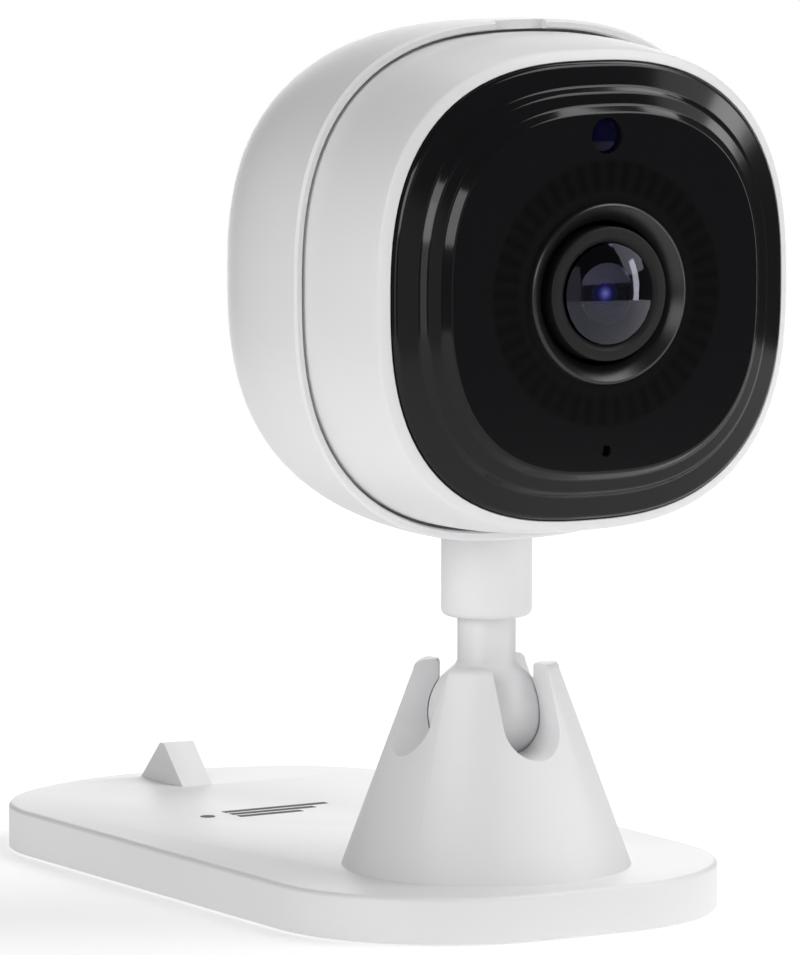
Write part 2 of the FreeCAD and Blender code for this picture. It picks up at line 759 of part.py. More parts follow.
def lens_barrel():
    """Hood and threaded tube of the lens, with a seat for the glass at each end."""
    y_thread = y_hood + hood_depth
    y_end = y_thread + thread_length
    bore = rear_glass_radius - rear_glass_ledge
    glass_bore = front_glass_radius + fit_gap
    y_rear_seat = y_end - rear_glass_thickness - rear_glass_setback
    return turned_on_lens_axis([
        (hood_radius, y_hood + hood_round), (hood_radius - hood_round, y_hood),
        (glass_bore + hood_lip, y_hood), (glass_bore, y_hood + hood_lip), (glass_bore, glass_seat_y()),
        (bore, glass_seat_y()), (bore, y_rear_seat), (rear_glass_radius + running_gap, y_rear_seat),
        (rear_glass_radius + running_gap, y_end), (thread_radius, y_end), (thread_radius, y_thread),
        (hood_radius, y_thread)])


def front_glass():
    """Bulging front element, held inside the hood."""
    y_edge = y_hood + front_glass_setback
    y_crown = y_edge - front_glass_bulge
    middle = V(front_glass_radius / 2, y_edge - front_glass_bulge * front_glass_roundness, z_head)
    rim = V(front_glass_radius, y_edge, z_head)
    profile = Part.Wire([
        arc(V(0, y_crown, z_head), middle, rim),
        line(rim, V(front_glass_radius, glass_seat_y(), z_head)),
        line(V(front_glass_radius, glass_seat_y(), z_head), V(0, glass_seat_y(), z_head)),
        line(V(0, glass_seat_y(), z_head), V(0, y_crown, z_head)),
    ])
    return turned(profile, V(0, 0, z_head), V(0, 1, 0))


def rear_glass():
    y = y_hood + hood_depth + thread_length - rear_glass_thickness - rear_glass_setback
    return rod(rear_glass_radius, y, rear_glass_thickness)


def lens_lock_ring():
    """Threaded ring that locks the lens at its focus, against the holder's tube."""
    y = y_tube - lock_ring_thickness
    ring = rod(lock_ring_radius, y, lock_ring_thickness)
    return ring.cut(rod(thread_radius + screw_gap, y, lock_ring_thickness))


def slider_room():
    return slider_length + slider_travel + 2 * fit_gap


def lens_holder():
    """Block on the sensor board with the lens's tube in front and a slideway for the filter inside."""
    body = block(0, y_holder, z_head - holder_height / 2, holder_width, holder_depth, holder_height)
    body = body.fuse(rod(holder_tube_radius, y_tube, holder_tube_length + holder_depth / 10))
    body = body.cut(rod(thread_radius + screw_gap, y_tube, y_slider - y_tube - slider_cover))
    body = body.cut(rod(filter_size / 2, y_tube, y_sensor - y_tube))
    way_gap = running_gap * 2
    body = body.cut(block(0, y_slider - way_gap, z_head - slider_height / 2 - way_gap, slider_room(),
                          slider_thickness + 2 * way_gap, slider_height + 2 * way_gap))
    return body.cut(block(0, y_slider, z_head - sensor_height / 2 - fit_gap, sensor_width + 2 * fit_gap,
                          y_sensor_board - y_slider, sensor_height + 2 * fit_gap))


def filter_middles():
    """X of the infrared-cut filter, in front of the sensor by day, and of the clear one beside it."""
    return 0.0, -slider_travel


def slider_x():
    return -slider_travel / 2


def filter_slider():
    z = z_head - slider_height / 2
    frame = block(slider_x(), y_slider, z, slider_length, slider_thickness, slider_height)
    z_opening = z_head - filter_size / 2
    for x in filter_middles():
        frame = frame.cut(block(x, y_slider, z_opening, filter_size, slider_thickness, filter_size))
    return frame


def filter_pane(x):
    y = y_slider + (slider_thickness - filter_thickness) / 2
    return block(x, y, z_head - filter_size / 2, filter_size, filter_thickness, filter_size)


def filter_coil():
    """Small electromagnet on top of the holder that shifts the filter."""
    z = z_head + holder_height / 2 + coil_radius
    core = rod(coil_core_radius, y_holder + coil_core_setin, holder_depth - 2 * coil_core_setin, 0, z)
    winding = rod(coil_radius, y_holder + coil_winding_setin, holder_depth - 2 * coil_winding_setin, 0, z)
    return winding.fuse(core)


def image_sensor():
    return block(0, y_sensor, z_head - sensor_height / 2, sensor_width, sensor_thickness, sensor_height)


# ---- boards ----------------------------------------------------------------------------------
def square_board(half, y, thickness, corner):
    board = block(0, y, z_head - half, 2 * half, thickness, 2 * half)
    uprights = [e for e in board.Edges if e.BoundBox.YLength > thickness * 0.9]
    return board.makeFillet(corner, uprights)


def standoff_places():
    return corners(sensor_board_half - standoff_inset)


def sensor_board():
    return square_board(sensor_board_half, y_sensor_board, board_thickness, sensor_board_corner)


def main_board():
    board = square_board(board_half, main_board_y, board_thickness, board_corner)
    for x, z in corners(boss_offset):
        board = board.cut(rod(board_screw_radius + fit_gap, main_board_y, board_thickness, x, z))
    return board


def board_standoffs():
    y = y_sensor_board + board_thickness
    pillars = [rod(standoff_radius, y, sensor_board_gap, x, z) for x, z in standoff_places()]
    return Part.makeCompound(pillars)


def board_screws():
    y = main_board_y + board_thickness
    screws = []
    for x, z in corners(boss_offset):
        head = rod(board_screw_head_radius, y, board_screw_head, x, z)
        shank = rod(board_screw_radius, y - board_screw_length, board_screw_length, x, z)
        recess = rod(board_screw_radius * recess_share, y + board_screw_head / 2, board_screw_head / 2, x, z)
        screws.append(head.fuse(shank).cut(recess))
    return Part.makeCompound(screws)


def processor():
    y = main_board_y - processor_thickness
    return block(0, y, z_head - processor_size / 2, processor_size, processor_thickness, processor_size)


def thermal_pad():
    y = main_board_y - processor_thickness - thermal_pad_thickness
    size = processor_size - 2 * thermal_pad_margin
    return block(0, y, z_head - size / 2, size, thermal_pad_thickness, size)


def heat_spreader():
    y = main_board_y - processor_thickness - thermal_pad_thickness - spreader_thickness
    plate = block(0, y, z_head - spreader_size / 2, spreader_size, spreader_thickness, spreader_size)
    for x, z in standoff_places():
        plate = plate.cut(rod(standoff_radius + 2 * fit_gap, y, spreader_thickness, x, z))
    return plate


def wifi_shield():
    """Tinned can over the radio, on the main board's rear face, above the speaker's magnet."""
    y = main_board_y + board_thickness
    return block(0, y, z_head - shield_height / 2, shield_width, shield_depth, shield_height)


def wifi_antenna():
    """Printed antenna strip stuck upright to the inside of the back, beside the speaker."""
    x = -speaker_radius - antenna_width / 2 - antenna_gap
    y = y_back_inner - antenna_thickness
    z = z_speaker + antenna_rise - antenna_length
    return block(x, y, z, antenna_width, antenna_thickness, antenna_length)


def led_board_y():
    return y_shelf_rear


def ir_led_board():
    y = led_board_y()
    return rod(led_board_radius, y, led_board_thickness).cut(rod(led_board_bore, y, led_board_thickness))


def ir_leds():
    """Infrared emitters in a ring round the lens, behind the window."""
    leds = []
    for i in range(led_count):
        turn = 360 / led_count * (i + 0.5)
        body = block(led_circle_radius, led_board_y() - led_height / 2, z_head - led_size / 2,
                     led_size, led_height / 2, led_size)
        cap_radius = led_size / 2 - led_cap_inset
        cap = rod(cap_radius, led_board_y() - led_height, led_height / 2, led_circle_radius)
        led = body.fuse(cap)
        led.rotate(V(0, 0, z_head), V(0, 1, 0), turn)
        leds.append(led)
    return Part.makeCompound(leds)


def light_sensor():
    size = light_port_radius
    return block(0, led_board_y() - size / 2, z_head + sensor_offset - size / 2, size, size / 2, size)


def light_pipe():
    """Clear plug in the window's upper port, with a stem that runs back to the light sensor."""
    z = z_head + sensor_offset
    y_plug = y_window + light_plug_setback
    y_stem = y_window + window_wall
    plug = rod(light_port_radius - running_gap, y_plug, y_stem - y_plug, 0, z)
    end = led_board_y() - light_port_radius / 2 - fit_gap
    stem = rod(light_port_radius * light_stem_share, y_stem, end - y_stem, 0, z)
    return plug.fuse(stem)


def status_led():
    """Small indicator on the LED board, beside the light sensor."""
    y = led_board_y() - status_led_depth
    z = z_head + sensor_offset - status_led_drop
    x = light_port_radius + status_led_gap
    return block(x, y, z, status_led_width, status_led_depth, status_led_height)


def microphone():
    z = z_head - sensor_offset
    return block(0, led_board_y() - mic_depth, z - mic_size / 2, mic_size, mic_depth, mic_size)


def microphone_boot():
    """Rubber tube that leads sound from the lower port to the microphone."""
    z = z_head - sensor_offset
    start = y_window + window_wall
    length = led_board_y() - mic_depth - start
    return rod(mic_size / 2, start, length, 0, z).cut(rod(mic_port_radius, start, length, 0, z))


def ribbon_z():
    return z_head - board_half + ribbon_rise


def ribbon_ends():
    """Y of the two sockets' inner faces."""
    return led_board_y() + led_board_thickness + ribbon_socket_depth, main_board_y - ribbon_socket_depth


def ribbon_cable():
    start, end = ribbon_ends()
    return block(0, start, ribbon_z(), ribbon_width, end - start, ribbon_thickness)


def ribbon_sockets():
    start, end = ribbon_ends()
    z = ribbon_z() - ribbon_socket_wall
    height = ribbon_thickness + 2 * ribbon_socket_wall
    width = ribbon_width + 2 * ribbon_socket_margin
    front = block(0, start - ribbon_socket_depth, z, width, ribbon_socket_depth, height)
    rear = block(0, end, z, width, ribbon_socket_depth, height)
    return Part.makeCompound([front, rear])


# ---- speaker, ports and button ---------------------------------------------------------------
def speaker_y():
    return y_back_inner - speaker_gasket - speaker_depth


def speaker_frame():
    """Basket and magnet pot, with the front open for the diaphragm."""
    y = speaker_y()
    y_basket = y + speaker_depth / 2
    magnet = rod(speaker_radius * magnet_share, y, speaker_depth / 2, 0, z_speaker)
    basket = rod(speaker_radius, y_basket, speaker_depth / 2, 0, z_speaker)
    hollow = rod(speaker_radius - speaker_rim, y_basket + speaker_floor, speaker_depth, 0, z_speaker)
    return magnet.fuse(basket).cut(hollow)


def speaker_diaphragm():
    y = y_back_inner - speaker_gasket
    radius = speaker_radius - speaker_rim - running_gap
    sheet = rod(radius, y - diaphragm_setback, diaphragm_thickness, 0, z_speaker)
    foot = V(0, y - diaphragm_setback + diaphragm_thickness, z_speaker)
    cap = Part.makeCone(speaker_radius * diaphragm_cap_foot, speaker_radius * diaphragm_cap_top,
                        diaphragm_cap, foot, V(0, 1, 0))
    return sheet.fuse(cap)


def speaker_seal():
    y = y_back_inner - speaker_gasket
    ring = rod(speaker_radius, y, speaker_gasket, 0, z_speaker)
    return ring.cut(rod(speaker_radius - speaker_rim, y, speaker_gasket, 0, z_speaker))


def io_board():
    return block(0, y_io, z_io - io_board_thickness, io_board_width, io_board_length, io_board_thickness)


def io_connector():
    """Board-to-board connector from the main board's rear face to the underside of the port board."""
    y = main_board_y + board_thickness
    z = z_io - io_board_thickness - io_connector_height
    length = y_io - y + io_connector_overlap
    return block(0, y, z, io_connector_width, length, io_connector_height)


def usb_socket():
    """Power inlet: a thin steel shell with its contact tongue."""
    x, z = usb_place()
    y_end = y_back - rear_wall / 2
    y = y_end - usb_depth
    shell = rounded_slot(usb_width, usb_height, x, y, z, usb_depth)
    y_room = y + usb_floor
    hollow = rounded_slot(usb_width - 2 * usb_wall, usb_height - 2 * usb_wall, x, y_room, z, usb_depth)
    tongue = block(x, y_room, z - usb_tongue_thickness / 2, usb_width * usb_tongue_share,
                   usb_depth * usb_tongue_share, usb_tongue_thickness)
    return shell.cut(hollow).fuse(tongue)


def card_y():
    """Inner end of the card when it is pushed home."""
    return y_back - card_recess - card_length


def card_socket():
    """Folded steel cage that the card slides into."""
    y = card_y() - card_socket_end
    length = y_back_inner - io_board_gap - y
    wall = card_socket_wall
    height = card_thickness + 2 * running_gap + 2 * wall
    cage = block(card_side, y, z_io, card_width + 2 * running_gap + 2 * wall, length, height)
    room = block(card_side, y + wall, z_io + wall, card_width + 2 * running_gap, length,
                 card_thickness + 2 * running_gap)
    return cage.cut(room)


def memory_card():
    z = card_z() - card_thickness / 2
    card = block(card_side, card_y(), z, card_width, card_length, card_thickness)
    notch_x = card_side + card_width / 2 - card_notch_width
    notch = Part.makeBox(card_notch_width, card_notch_length, card_thickness, V(notch_x, card_y(), z))
    card = card.cut(notch)
    grip = block(card_side, card_y() + card_length - card_grip_setin, z + card_thickness - card_grip_depth,
                 card_width * card_grip_share, card_grip_length, card_grip_depth)
    return card.cut(grip)


def button_inner_y():
    """Inner end of the released button."""
    return y_back_inner - button_flange - fit_gap


def reset_switch():
    y_end = button_inner_y() - button_travel - running_gap
    y_plunger = y_end - plunger_length
    y_body = y_end - switch_depth
    body = block(button_side, y_body, z_io, switch_size, y_plunger - y_body, switch_size)
    plunger = rod(button_radius * plunger_share, y_plunger, plunger_length, button_side, button_z())
    return body.fuse(plunger)


def reset_button():
    y = button_inner_y()
    flange = rod(button_flange_radius, y, button_flange, button_side, button_z())
    stem = rod(button_radius, y, y_back - button_recess - y, button_side, button_z())
    return flange.fuse(stem)


nodes = {
    "base_cover": base_cover,
    "ballast_plate": ballast_plate,
    "base_bottom": base_bottom,
    "base_screws": base_screws,
    "anti_slip_pad": anti_slip_pad,
    "ball_stud": ball_stud,
    "swivel_washer": swivel_washer,
    "swivel_screw": swivel_screw,
    "rear_shell": rear_shell,
    "front_shell": front_shell,
    "front_window": front_window,
    "window_gasket": window_gasket,
    "lens_trim_ring": lens_trim_ring,
    "lens_barrel": lens_barrel,
    "lens_front_glass": front_glass,
    "lens_rear_glass": rear_glass,
    "lens_lock_ring": lens_lock_ring,
    "lens_holder": lens_holder,
    "filter_slider": filter_slider,
    "infrared_cut_filter": lambda: filter_pane(filter_middles()[0]),
    "clear_filter": lambda: filter_pane(filter_middles()[1]),
    "filter_coil": filter_coil,
    "image_sensor": image_sensor,
    "sensor_board": sensor_board,
    "main_board": main_board,
    "board_standoffs": board_standoffs,
    "board_screws": board_screws,
    "processor": processor,
    "thermal_pad": thermal_pad,
    "heat_spreader": heat_spreader,
    "wifi_shield": wifi_shield,
    "wifi_antenna": wifi_antenna,
    "ir_led_board": ir_led_board,
    "ir_leds": ir_leds,
    "light_sensor": light_sensor,
    "light_pipe": light_pipe,
    "status_led": status_led,
    "microphone": microphone,
    "microphone_boot": microphone_boot,
    "ribbon_cable": ribbon_cable,
    "ribbon_sockets": ribbon_sockets,
    "speaker_frame": speaker_frame,
    "speaker_diaphragm": speaker_diaphragm,
    "speaker_seal": speaker_seal,
    "io_board": io_board,
    "io_connector": io_connector,
    "usb_socket": usb_socket,
    "card_socket": card_socket,
    "memory_card": memory_card,
    "reset_switch": reset_switch,
    "reset_button": reset_button,
}

os.makedirs("parts", exist_ok=True)
for name, make in nodes.items():
    shape = make()
    solids = len(shape.Solids)
    print(f"{name}: {solids} solid(s), {shape.Volume:.1f} mm3, valid {shape.isValid()}")
    shape.exportStep(f"parts/{name}.step")
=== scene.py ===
"""Looks of the indoor security camera, piece by piece in the order in which it is put together.

Metres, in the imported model's frame: the lens looks along -Y, Z is up, and the stem stands over the origin.
"""
import bmesh
import bpy
import math
from mathutils import Matrix, Vector


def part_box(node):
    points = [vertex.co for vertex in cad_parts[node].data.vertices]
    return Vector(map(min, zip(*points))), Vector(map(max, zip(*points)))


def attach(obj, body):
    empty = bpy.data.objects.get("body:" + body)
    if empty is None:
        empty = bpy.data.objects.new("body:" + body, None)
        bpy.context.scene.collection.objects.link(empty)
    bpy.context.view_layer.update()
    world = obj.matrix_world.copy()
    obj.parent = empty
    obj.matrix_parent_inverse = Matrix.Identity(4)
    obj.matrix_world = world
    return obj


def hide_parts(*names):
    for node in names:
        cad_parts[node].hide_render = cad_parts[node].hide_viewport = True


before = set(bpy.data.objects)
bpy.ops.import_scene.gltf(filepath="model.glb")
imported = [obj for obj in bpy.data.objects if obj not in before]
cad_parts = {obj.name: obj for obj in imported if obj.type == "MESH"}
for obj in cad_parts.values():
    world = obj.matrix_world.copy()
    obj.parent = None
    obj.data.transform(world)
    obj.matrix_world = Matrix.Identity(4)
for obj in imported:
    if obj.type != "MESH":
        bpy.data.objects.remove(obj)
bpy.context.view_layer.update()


# ---- underside: rubber pad, moulded bottom cover, its screws and the ballast plate ----------------------
# A silicone pad is glued to an ABS cover, which four zinc-plated screws hold under the stand.
# Between them and the stand lies a stamped steel plate that keeps the head from tipping it over.
mm = 0.001


def srgb(code):
    """Linear colour of an sRGB hex code."""
    parts = [int(code[i:i + 2], 16) / 255 for i in (0, 2, 4)]
    return [c / 12.92 if c <= 0.04045 else ((c + 0.055) / 1.055) ** 2.4 for c in parts] + [1.0]


def add_node(tree, kind, settings=None, links=None):
    """Adds a node, sets its properties or sockets by name, and links its sockets to other nodes' outputs."""
    node = tree.nodes.new(kind)
    for name, value in (settings or {}).items():
        if isinstance(name, int) or name not in node.bl_rna.properties:
            node.inputs[name].default_value = value
        else:
            setattr(node, name, value)
    for name, source in (links or {}).items():
        tree.links.new(source, node.inputs[name])
    return node


def new_material(name, **sockets):
    """Empty material with its shader's sockets set; gives the material, its nodes and the shader."""
    material = bpy.data.materials.new(name)
    material.use_nodes = True
    tree = material.node_tree
    shader = tree.nodes["Principled BSDF"]
    for socket, value in sockets.items():
        shader.inputs[socket.replace("_", " ")].default_value = value
    return material, tree, shader


def textured(name, colours, roughness, grain, relief, cloud=20 * mm, stretch=(1, 1, 1), **sockets):
    """Surface whose colour drifts between two shades over a cloud's width and whose gloss drifts with it,
    with a fine relief; grain and depth are in metres. A stretch under 1 draws the grain out along an axis."""
    material, tree, shader = new_material(name, **sockets)
    place = add_node(tree, "ShaderNodeTexCoord").outputs["Object"]
    drift = add_node(tree, "ShaderNodeTexNoise", {"Scale": 1 / cloud, "Detail": 3.0}, {"Vector": place})
    ramp = add_node(tree, "ShaderNodeMix", {"data_type": "RGBA", 6: srgb(colours[0]), 7: srgb(colours[1])},
                    {0: drift.outputs["Fac"]})
    gloss = add_node(tree, "ShaderNodeMapRange", {"To Min": roughness[0], "To Max": roughness[1]},
                     {"Value": drift.outputs["Fac"]})
    drawn = add_node(tree, "ShaderNodeMapping", {"Scale": stretch}, {"Vector": place})
    fine = add_node(tree, "ShaderNodeTexNoise", {"Scale": 1 / grain, "Detail": 2.0},
                    {"Vector": drawn.outputs["Vector"]})
    bump = add_node(tree, "ShaderNodeBump", {"Strength": 1.0, "Distance": relief},
                    {"Height": fine.outputs["Fac"]})
    tree.links.new(ramp.outputs[2], shader.inputs["Base Color"])
    tree.links.new(gloss.outputs["Result"], shader.inputs["Roughness"])
    tree.links.new(bump.outputs["Normal"], shader.inputs["Normal"])
    return material


def dress(material, *nodes):
    """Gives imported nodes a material."""
    for node in nodes:
        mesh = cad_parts[node].data
        mesh.materials.clear()
        mesh.materials.append(material)


# Compression-moulded silicone: dull, slightly dusty, with a soft skin.
silicone = textured("compression_moulded_silicone", ("7d7f82", "8b8d90"), (0.75, 0.85), 0.6 * mm, 0.02 * mm)
dress(silicone, "anti_slip_pad")

# Injection-moulded ABS off a spark-eroded tool: a satin skin, whose grain is about three times the real size.
base_abs = textured("moulded_abs_light_grey", ("d5d6d7", "dcdcdd"), (0.5, 0.6), 0.4 * mm, 0.008 * mm)
dress(base_abs, "base_bottom")

# Cold-headed steel with a bright zinc plate: fairly smooth, with faint blotches.
zinc_plated = textured("zinc_plated_steel", ("a9adb2", "bcc0c4"), (0.28, 0.4), 0.3 * mm, 0.004 * mm,
                       cloud=2 * mm, Metallic=1.0)
dress(zinc_plated, "base_screws", "swivel_washer", "swivel_screw", "board_screws")

# Stamped cold-rolled steel: darker, with rolling lines along its length.
rolled_steel = textured("cold_rolled_steel", ("6f7276", "85888c"), (0.35, 0.5), 0.5 * mm, 0.01 * mm,
                        stretch=(1, 0.05, 1), Metallic=1.0)
dress(rolled_steel, "ballast_plate")


# ---- stand: plate, slotted cone and rest wedge in one moulding ------------------------------------------
# One white ABS shell: a hollow plate with a round front and a bowed rear edge, a cone whose four fingers
# grip the ball, and a low wedge that the folded head rests on. The pieces are joined as solids, then eased.
stand_low, stand_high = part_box("base_cover")
plate_half = stand_high.x
plate_front = stand_low.y
plate_rear = stand_high.y
z_plate = stand_low.z
z_tips = stand_high.z
plate_thickness = 5.25 * mm
plate_wall = 1.6 * mm
z_top = z_plate + plate_thickness
z_cavity = z_top - plate_wall
rim_wall = 1.8 * mm
front_radius = 21.6 * mm
rear_radius = 18.0 * mm
bow_radius = 36.0 * mm
plate_edge_round = 0.6 * mm
cone_foot = 16.6 * mm
cone_slope = 0.368
cone_wall = 2.1 * mm
seat_wall = 1.8 * mm
tip_wall = 2.4 * mm
lip_height = 3.8 * mm
slot_half = 3.65 * mm
slot_drop = 0.45 * mm
eased_edge = 0.18 * mm
stud_low, stud_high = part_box("ball_stud")
ball_radius = stud_high.x
z_ball = stud_low.z + ball_radius
ball_gap = 0.12 * mm
socket_radius = ball_radius + ball_gap
stem_axis = (0, 0, 1)
lens_axis = (0, 1, 0)
round_steps = 128
clean_up = 0.001 * mm


def line_to(bm, vert, point):
    """Draws a straight run from a vertex to a point and returns its far end."""
    end = bmesh.ops.extrude_vert_indiv(bm, verts=[vert])["verts"][0]
    end.co = point
    return end


def arc_to(bm, vert, centre, degrees, axis, steps=12):
    """Draws an arc from a vertex round a centre and returns its far end."""
    made = bmesh.ops.spin(bm, geom=[vert], cent=centre, axis=axis, angle=math.radians(degrees), steps=steps)
    return next(g for g in made["geom_last"] if isinstance(g, bmesh.types.BMVert))


def turn(bm, centre=(0, 0, 0), axis=stem_axis, steps=round_steps):
    """Turns a drawn half profile once round an axis into a closed solid."""
    bmesh.ops.spin(bm, geom=bm.verts[:] + bm.edges[:], cent=centre, axis=axis, angle=2 * math.pi,
                   steps=steps, use_merge=True)
    bmesh.ops.remove_doubles(bm, verts=bm.verts, dist=clean_up)
    bmesh.ops.dissolve_degenerate(bm, edges=bm.edges, dist=clean_up)
    bmesh.ops.recalc_face_normals(bm, faces=bm.faces)
    return bm


def draw_out(bm, face, way):
    """Extrudes a face along a vector into a solid and returns the faces of its far end."""
    made = bmesh.ops.extrude_face_region(bm, geom=[face])["geom"]
    bmesh.ops.translate(bm, verts=[g for g in made if isinstance(g, bmesh.types.BMVert)], vec=way)
    bmesh.ops.recalc_face_normals(bm, faces=bm.faces)
    return [g for g in made if isinstance(g, bmesh.types.BMFace)]


def cylinder(radius, depth, centre, axis="Z", segments=48):
    """Rod with its middle at a centre."""
    bm = bmesh.new()
    turned = {"X": Matrix.Rotation(math.pi / 2, 4, "Y"), "Y": Matrix.Rotation(math.pi / 2, 4, "X"),
              "Z": Matrix.Identity(4)}[axis]
    bmesh.ops.create_cone(bm, cap_ends=True, segments=segments, radius1=radius, radius2=radius, depth=depth,
                          matrix=Matrix.Translation(centre) @ turned)
    return bm


def box(low, high):
    """Block between two corners."""
    bm = bmesh.new()
    size = Vector(high) - Vector(low)
    middle = (Vector(high) + Vector(low)) / 2
    bmesh.ops.create_cube(bm, size=1.0, matrix=Matrix.Translation(middle) @ Matrix.Diagonal((*size, 1)))
    return bm


def as_object(bm, name):
    """Makes an object of a bmesh, with its place in its mesh."""
    mesh = bpy.data.meshes.new(name)
    bm.to_mesh(mesh)
    bm.free()
    piece = bpy.data.objects.new(name, mesh)
    bpy.context.scene.collection.objects.link(piece)
    return piece


def carve(body, tools, operation="DIFFERENCE"):
    """Cuts solids out of a solid, or joins them to it, and returns the new solid."""
    base = as_object(body, "carved")
    helpers = [as_object(tool, "tool") for tool in tools]
    for helper in helpers:
        step = base.modifiers.new("step", "BOOLEAN")
        step.operation = operation
        step.solver = "EXACT"
        step.object = helper
    shown = base.evaluated_get(bpy.context.evaluated_depsgraph_get())
    result = bmesh.new()
    result.from_mesh(shown.to_mesh())
    for spare in [base] + helpers:
        bpy.data.objects.remove(spare)
    bmesh.ops.remove_doubles(result, verts=result.verts, dist=0.002 * mm)
    bmesh.ops.dissolve_degenerate(result, edges=result.edges, dist=0.002 * mm)
    return result


def ease_edges(bm, edges, width, segments):
    """Rounds edges, as a mould's radius does."""
    bmesh.ops.bevel(bm, geom=edges, offset=width, offset_type="OFFSET", segments=segments, profile=0.5,
                    affect="EDGES", clamp_overlap=True, material=-1)


def finish_piece(bm, name, material, crease=35.0):
    """Object of a finished mesh, smooth except where it turns by more than the crease angle."""
    piece = as_object(bm, name)
    piece.data.materials.append(material)
    for face in piece.data.polygons:
        face.use_smooth = True
    piece.data.set_sharp_from_angle(angle=math.radians(crease))
    return piece


# Plate: half the outline is drawn with straight runs and arcs, then mirrored.
outline = bmesh.new()
front_x = plate_half - front_radius
rear_x = plate_half - rear_radius
bow_y = plate_rear - bow_radius
rear_y = bow_y + math.sqrt((bow_radius - rear_radius) ** 2 - rear_x ** 2)
lean = math.degrees(math.atan2(rear_y - bow_y, rear_x))
pen = outline.verts.new((0, plate_front, z_plate))
pen = line_to(outline, pen, (front_x, plate_front, z_plate))
pen = arc_to(outline, pen, (front_x, plate_front + front_radius, z_plate), 90, stem_axis, 24)
pen = line_to(outline, pen, (plate_half, rear_y, z_plate))
pen = arc_to(outline, pen, (rear_x, rear_y, z_plate), lean, stem_axis, 16)
arc_to(outline, pen, (0, bow_y, z_plate), 90 - lean, stem_axis, 16)
bmesh.ops.mirror(outline, geom=outline.verts[:] + outline.edges[:], axis="X", merge_dist=0.01 * mm)
bmesh.ops.remove_doubles(outline, verts=outline.verts, dist=clean_up)
face = bmesh.ops.contextual_create(outline, geom=outline.edges[:])["faces"][0]
top = draw_out(outline, face, (0, 0, z_top - z_plate))
ease_edges(outline, [e for f in top for e in f.edges], plate_edge_round, 5)
bottom = min(outline.faces, key=lambda f: f.calc_center_median().z - f.calc_area())
bmesh.ops.inset_region(outline, faces=[bottom], thickness=rim_wall, use_even_offset=True)
draw_out(outline, bottom, (0, 0, z_cavity - z_plate))

# Cone: its half profile runs from the hollow foot's ceiling, down and out, up the slope, over the rounded tip
# and down the socket to the axis.
z_seat = z_ball - socket_radius - seat_wall
tip_outer = cone_foot - cone_slope * (z_tips - z_top)
tip_round = tip_wall * 0.4
tip_turn = 80
cone = bmesh.new()
pen = cone.verts.new((0, 0, z_seat))
pen = line_to(cone, pen, (cone_foot - cone_slope * (z_seat - z_top) - cone_wall, 0, z_seat))
pen = line_to(cone, pen, (cone_foot - cone_wall, 0, z_cavity))
pen = line_to(cone, pen, (cone_foot, 0, z_cavity))
pen = line_to(cone, pen, (cone_foot, 0, z_top))
pen = line_to(cone, pen, (tip_outer + cone_slope * tip_round, 0, z_tips - tip_round))
pen = arc_to(cone, pen, (tip_outer + cone_slope * tip_round - tip_round, 0, z_tips - tip_round),
             -tip_turn, lens_axis, 6)
inner_round = tip_round * 0.5
tip_inner = tip_outer - tip_wall
pen = line_to(cone, pen, (tip_inner + inner_round, 0, z_tips))
pen = arc_to(cone, pen, (tip_inner + inner_round, 0, z_tips - inner_round), -90, lens_axis, 4)
lip_radius = math.sqrt(socket_radius ** 2 - lip_height ** 2)
pen = line_to(cone, pen, (lip_radius, 0, z_ball + lip_height))
wrap = 90 + math.degrees(math.asin(lip_height / socket_radius))
arc_to(cone, pen, (0, 0, z_ball), wrap, lens_axis, 24)
turn(cone)

# Slots: a round-bottomed cutter each way.
z_slot = z_ball - slot_drop
slots = []
for axis in ("X", "Y"):
    slot = bmesh.new()
    across, along = Vector((0, 1, 0)), Vector((1, 0, 0))
    if axis == "Y":
        across, along = along, across
    start = -along * cone_foot
    pen = slot.verts.new(start + across * slot_half + Vector((0, 0, z_tips + slot_half)))
    pen = line_to(slot, pen, start + across * slot_half + Vector((0, 0, z_slot)))
    pen = arc_to(slot, pen, start + Vector((0, 0, z_slot)), -180 if axis == "X" else 180, along, 24)
    line_to(slot, pen, start - across * slot_half + Vector((0, 0, z_tips + slot_half)))
    face = bmesh.ops.contextual_create(slot, geom=slot.edges[:] + slot.verts[:])["faces"]
    draw_out(slot, face[0], along * (2 * cone_foot))
    slots.append(slot)
cone = carve(cone, slots)

# Wedge: its side outline, carried on into the plate, is drawn and pushed across.
wedge_setback = 8.15 * mm
wedge_y = plate_rear - wedge_setback
wedge_reach = 5.15 * mm
wedge_half = 2.05 * mm
wedge_rise = 4.7 * mm
ridge = 0.5 * mm
wedge_foot = wedge_reach + (wedge_reach - ridge) * ridge / wedge_rise
wedge = bmesh.new()
pen = wedge.verts.new((-wedge_half, wedge_y - wedge_foot, z_top - ridge))
for y, z in ((-ridge, z_top + wedge_rise), (ridge, z_top + wedge_rise), (wedge_foot, z_top - ridge)):
    pen = line_to(wedge, pen, (-wedge_half, wedge_y + y, z))
face = bmesh.ops.contextual_create(wedge, geom=wedge.edges[:] + wedge.verts[:])["faces"][0]
draw_out(wedge, face, (2 * wedge_half, 0, 0))

hole_depth = 3 * mm
hole_offset = 0.5 * mm
foot_hole = cylinder(cone_foot - cone_wall, hole_depth, (0, 0, z_cavity + hole_offset), segments=round_steps)
plate = carve(outline, [foot_hole])
stand = carve(plate, [cone, wedge], "UNION")
sharp_turn = math.radians(40.0)
z_eased = z_top - 0.01 * mm
sharp = [e for e in stand.edges if e.is_manifold and e.calc_face_angle(0.0) > sharp_turn
         and min(v.co.z for v in e.verts) > z_eased]
ease_edges(stand, sharp, eased_edge, 2)

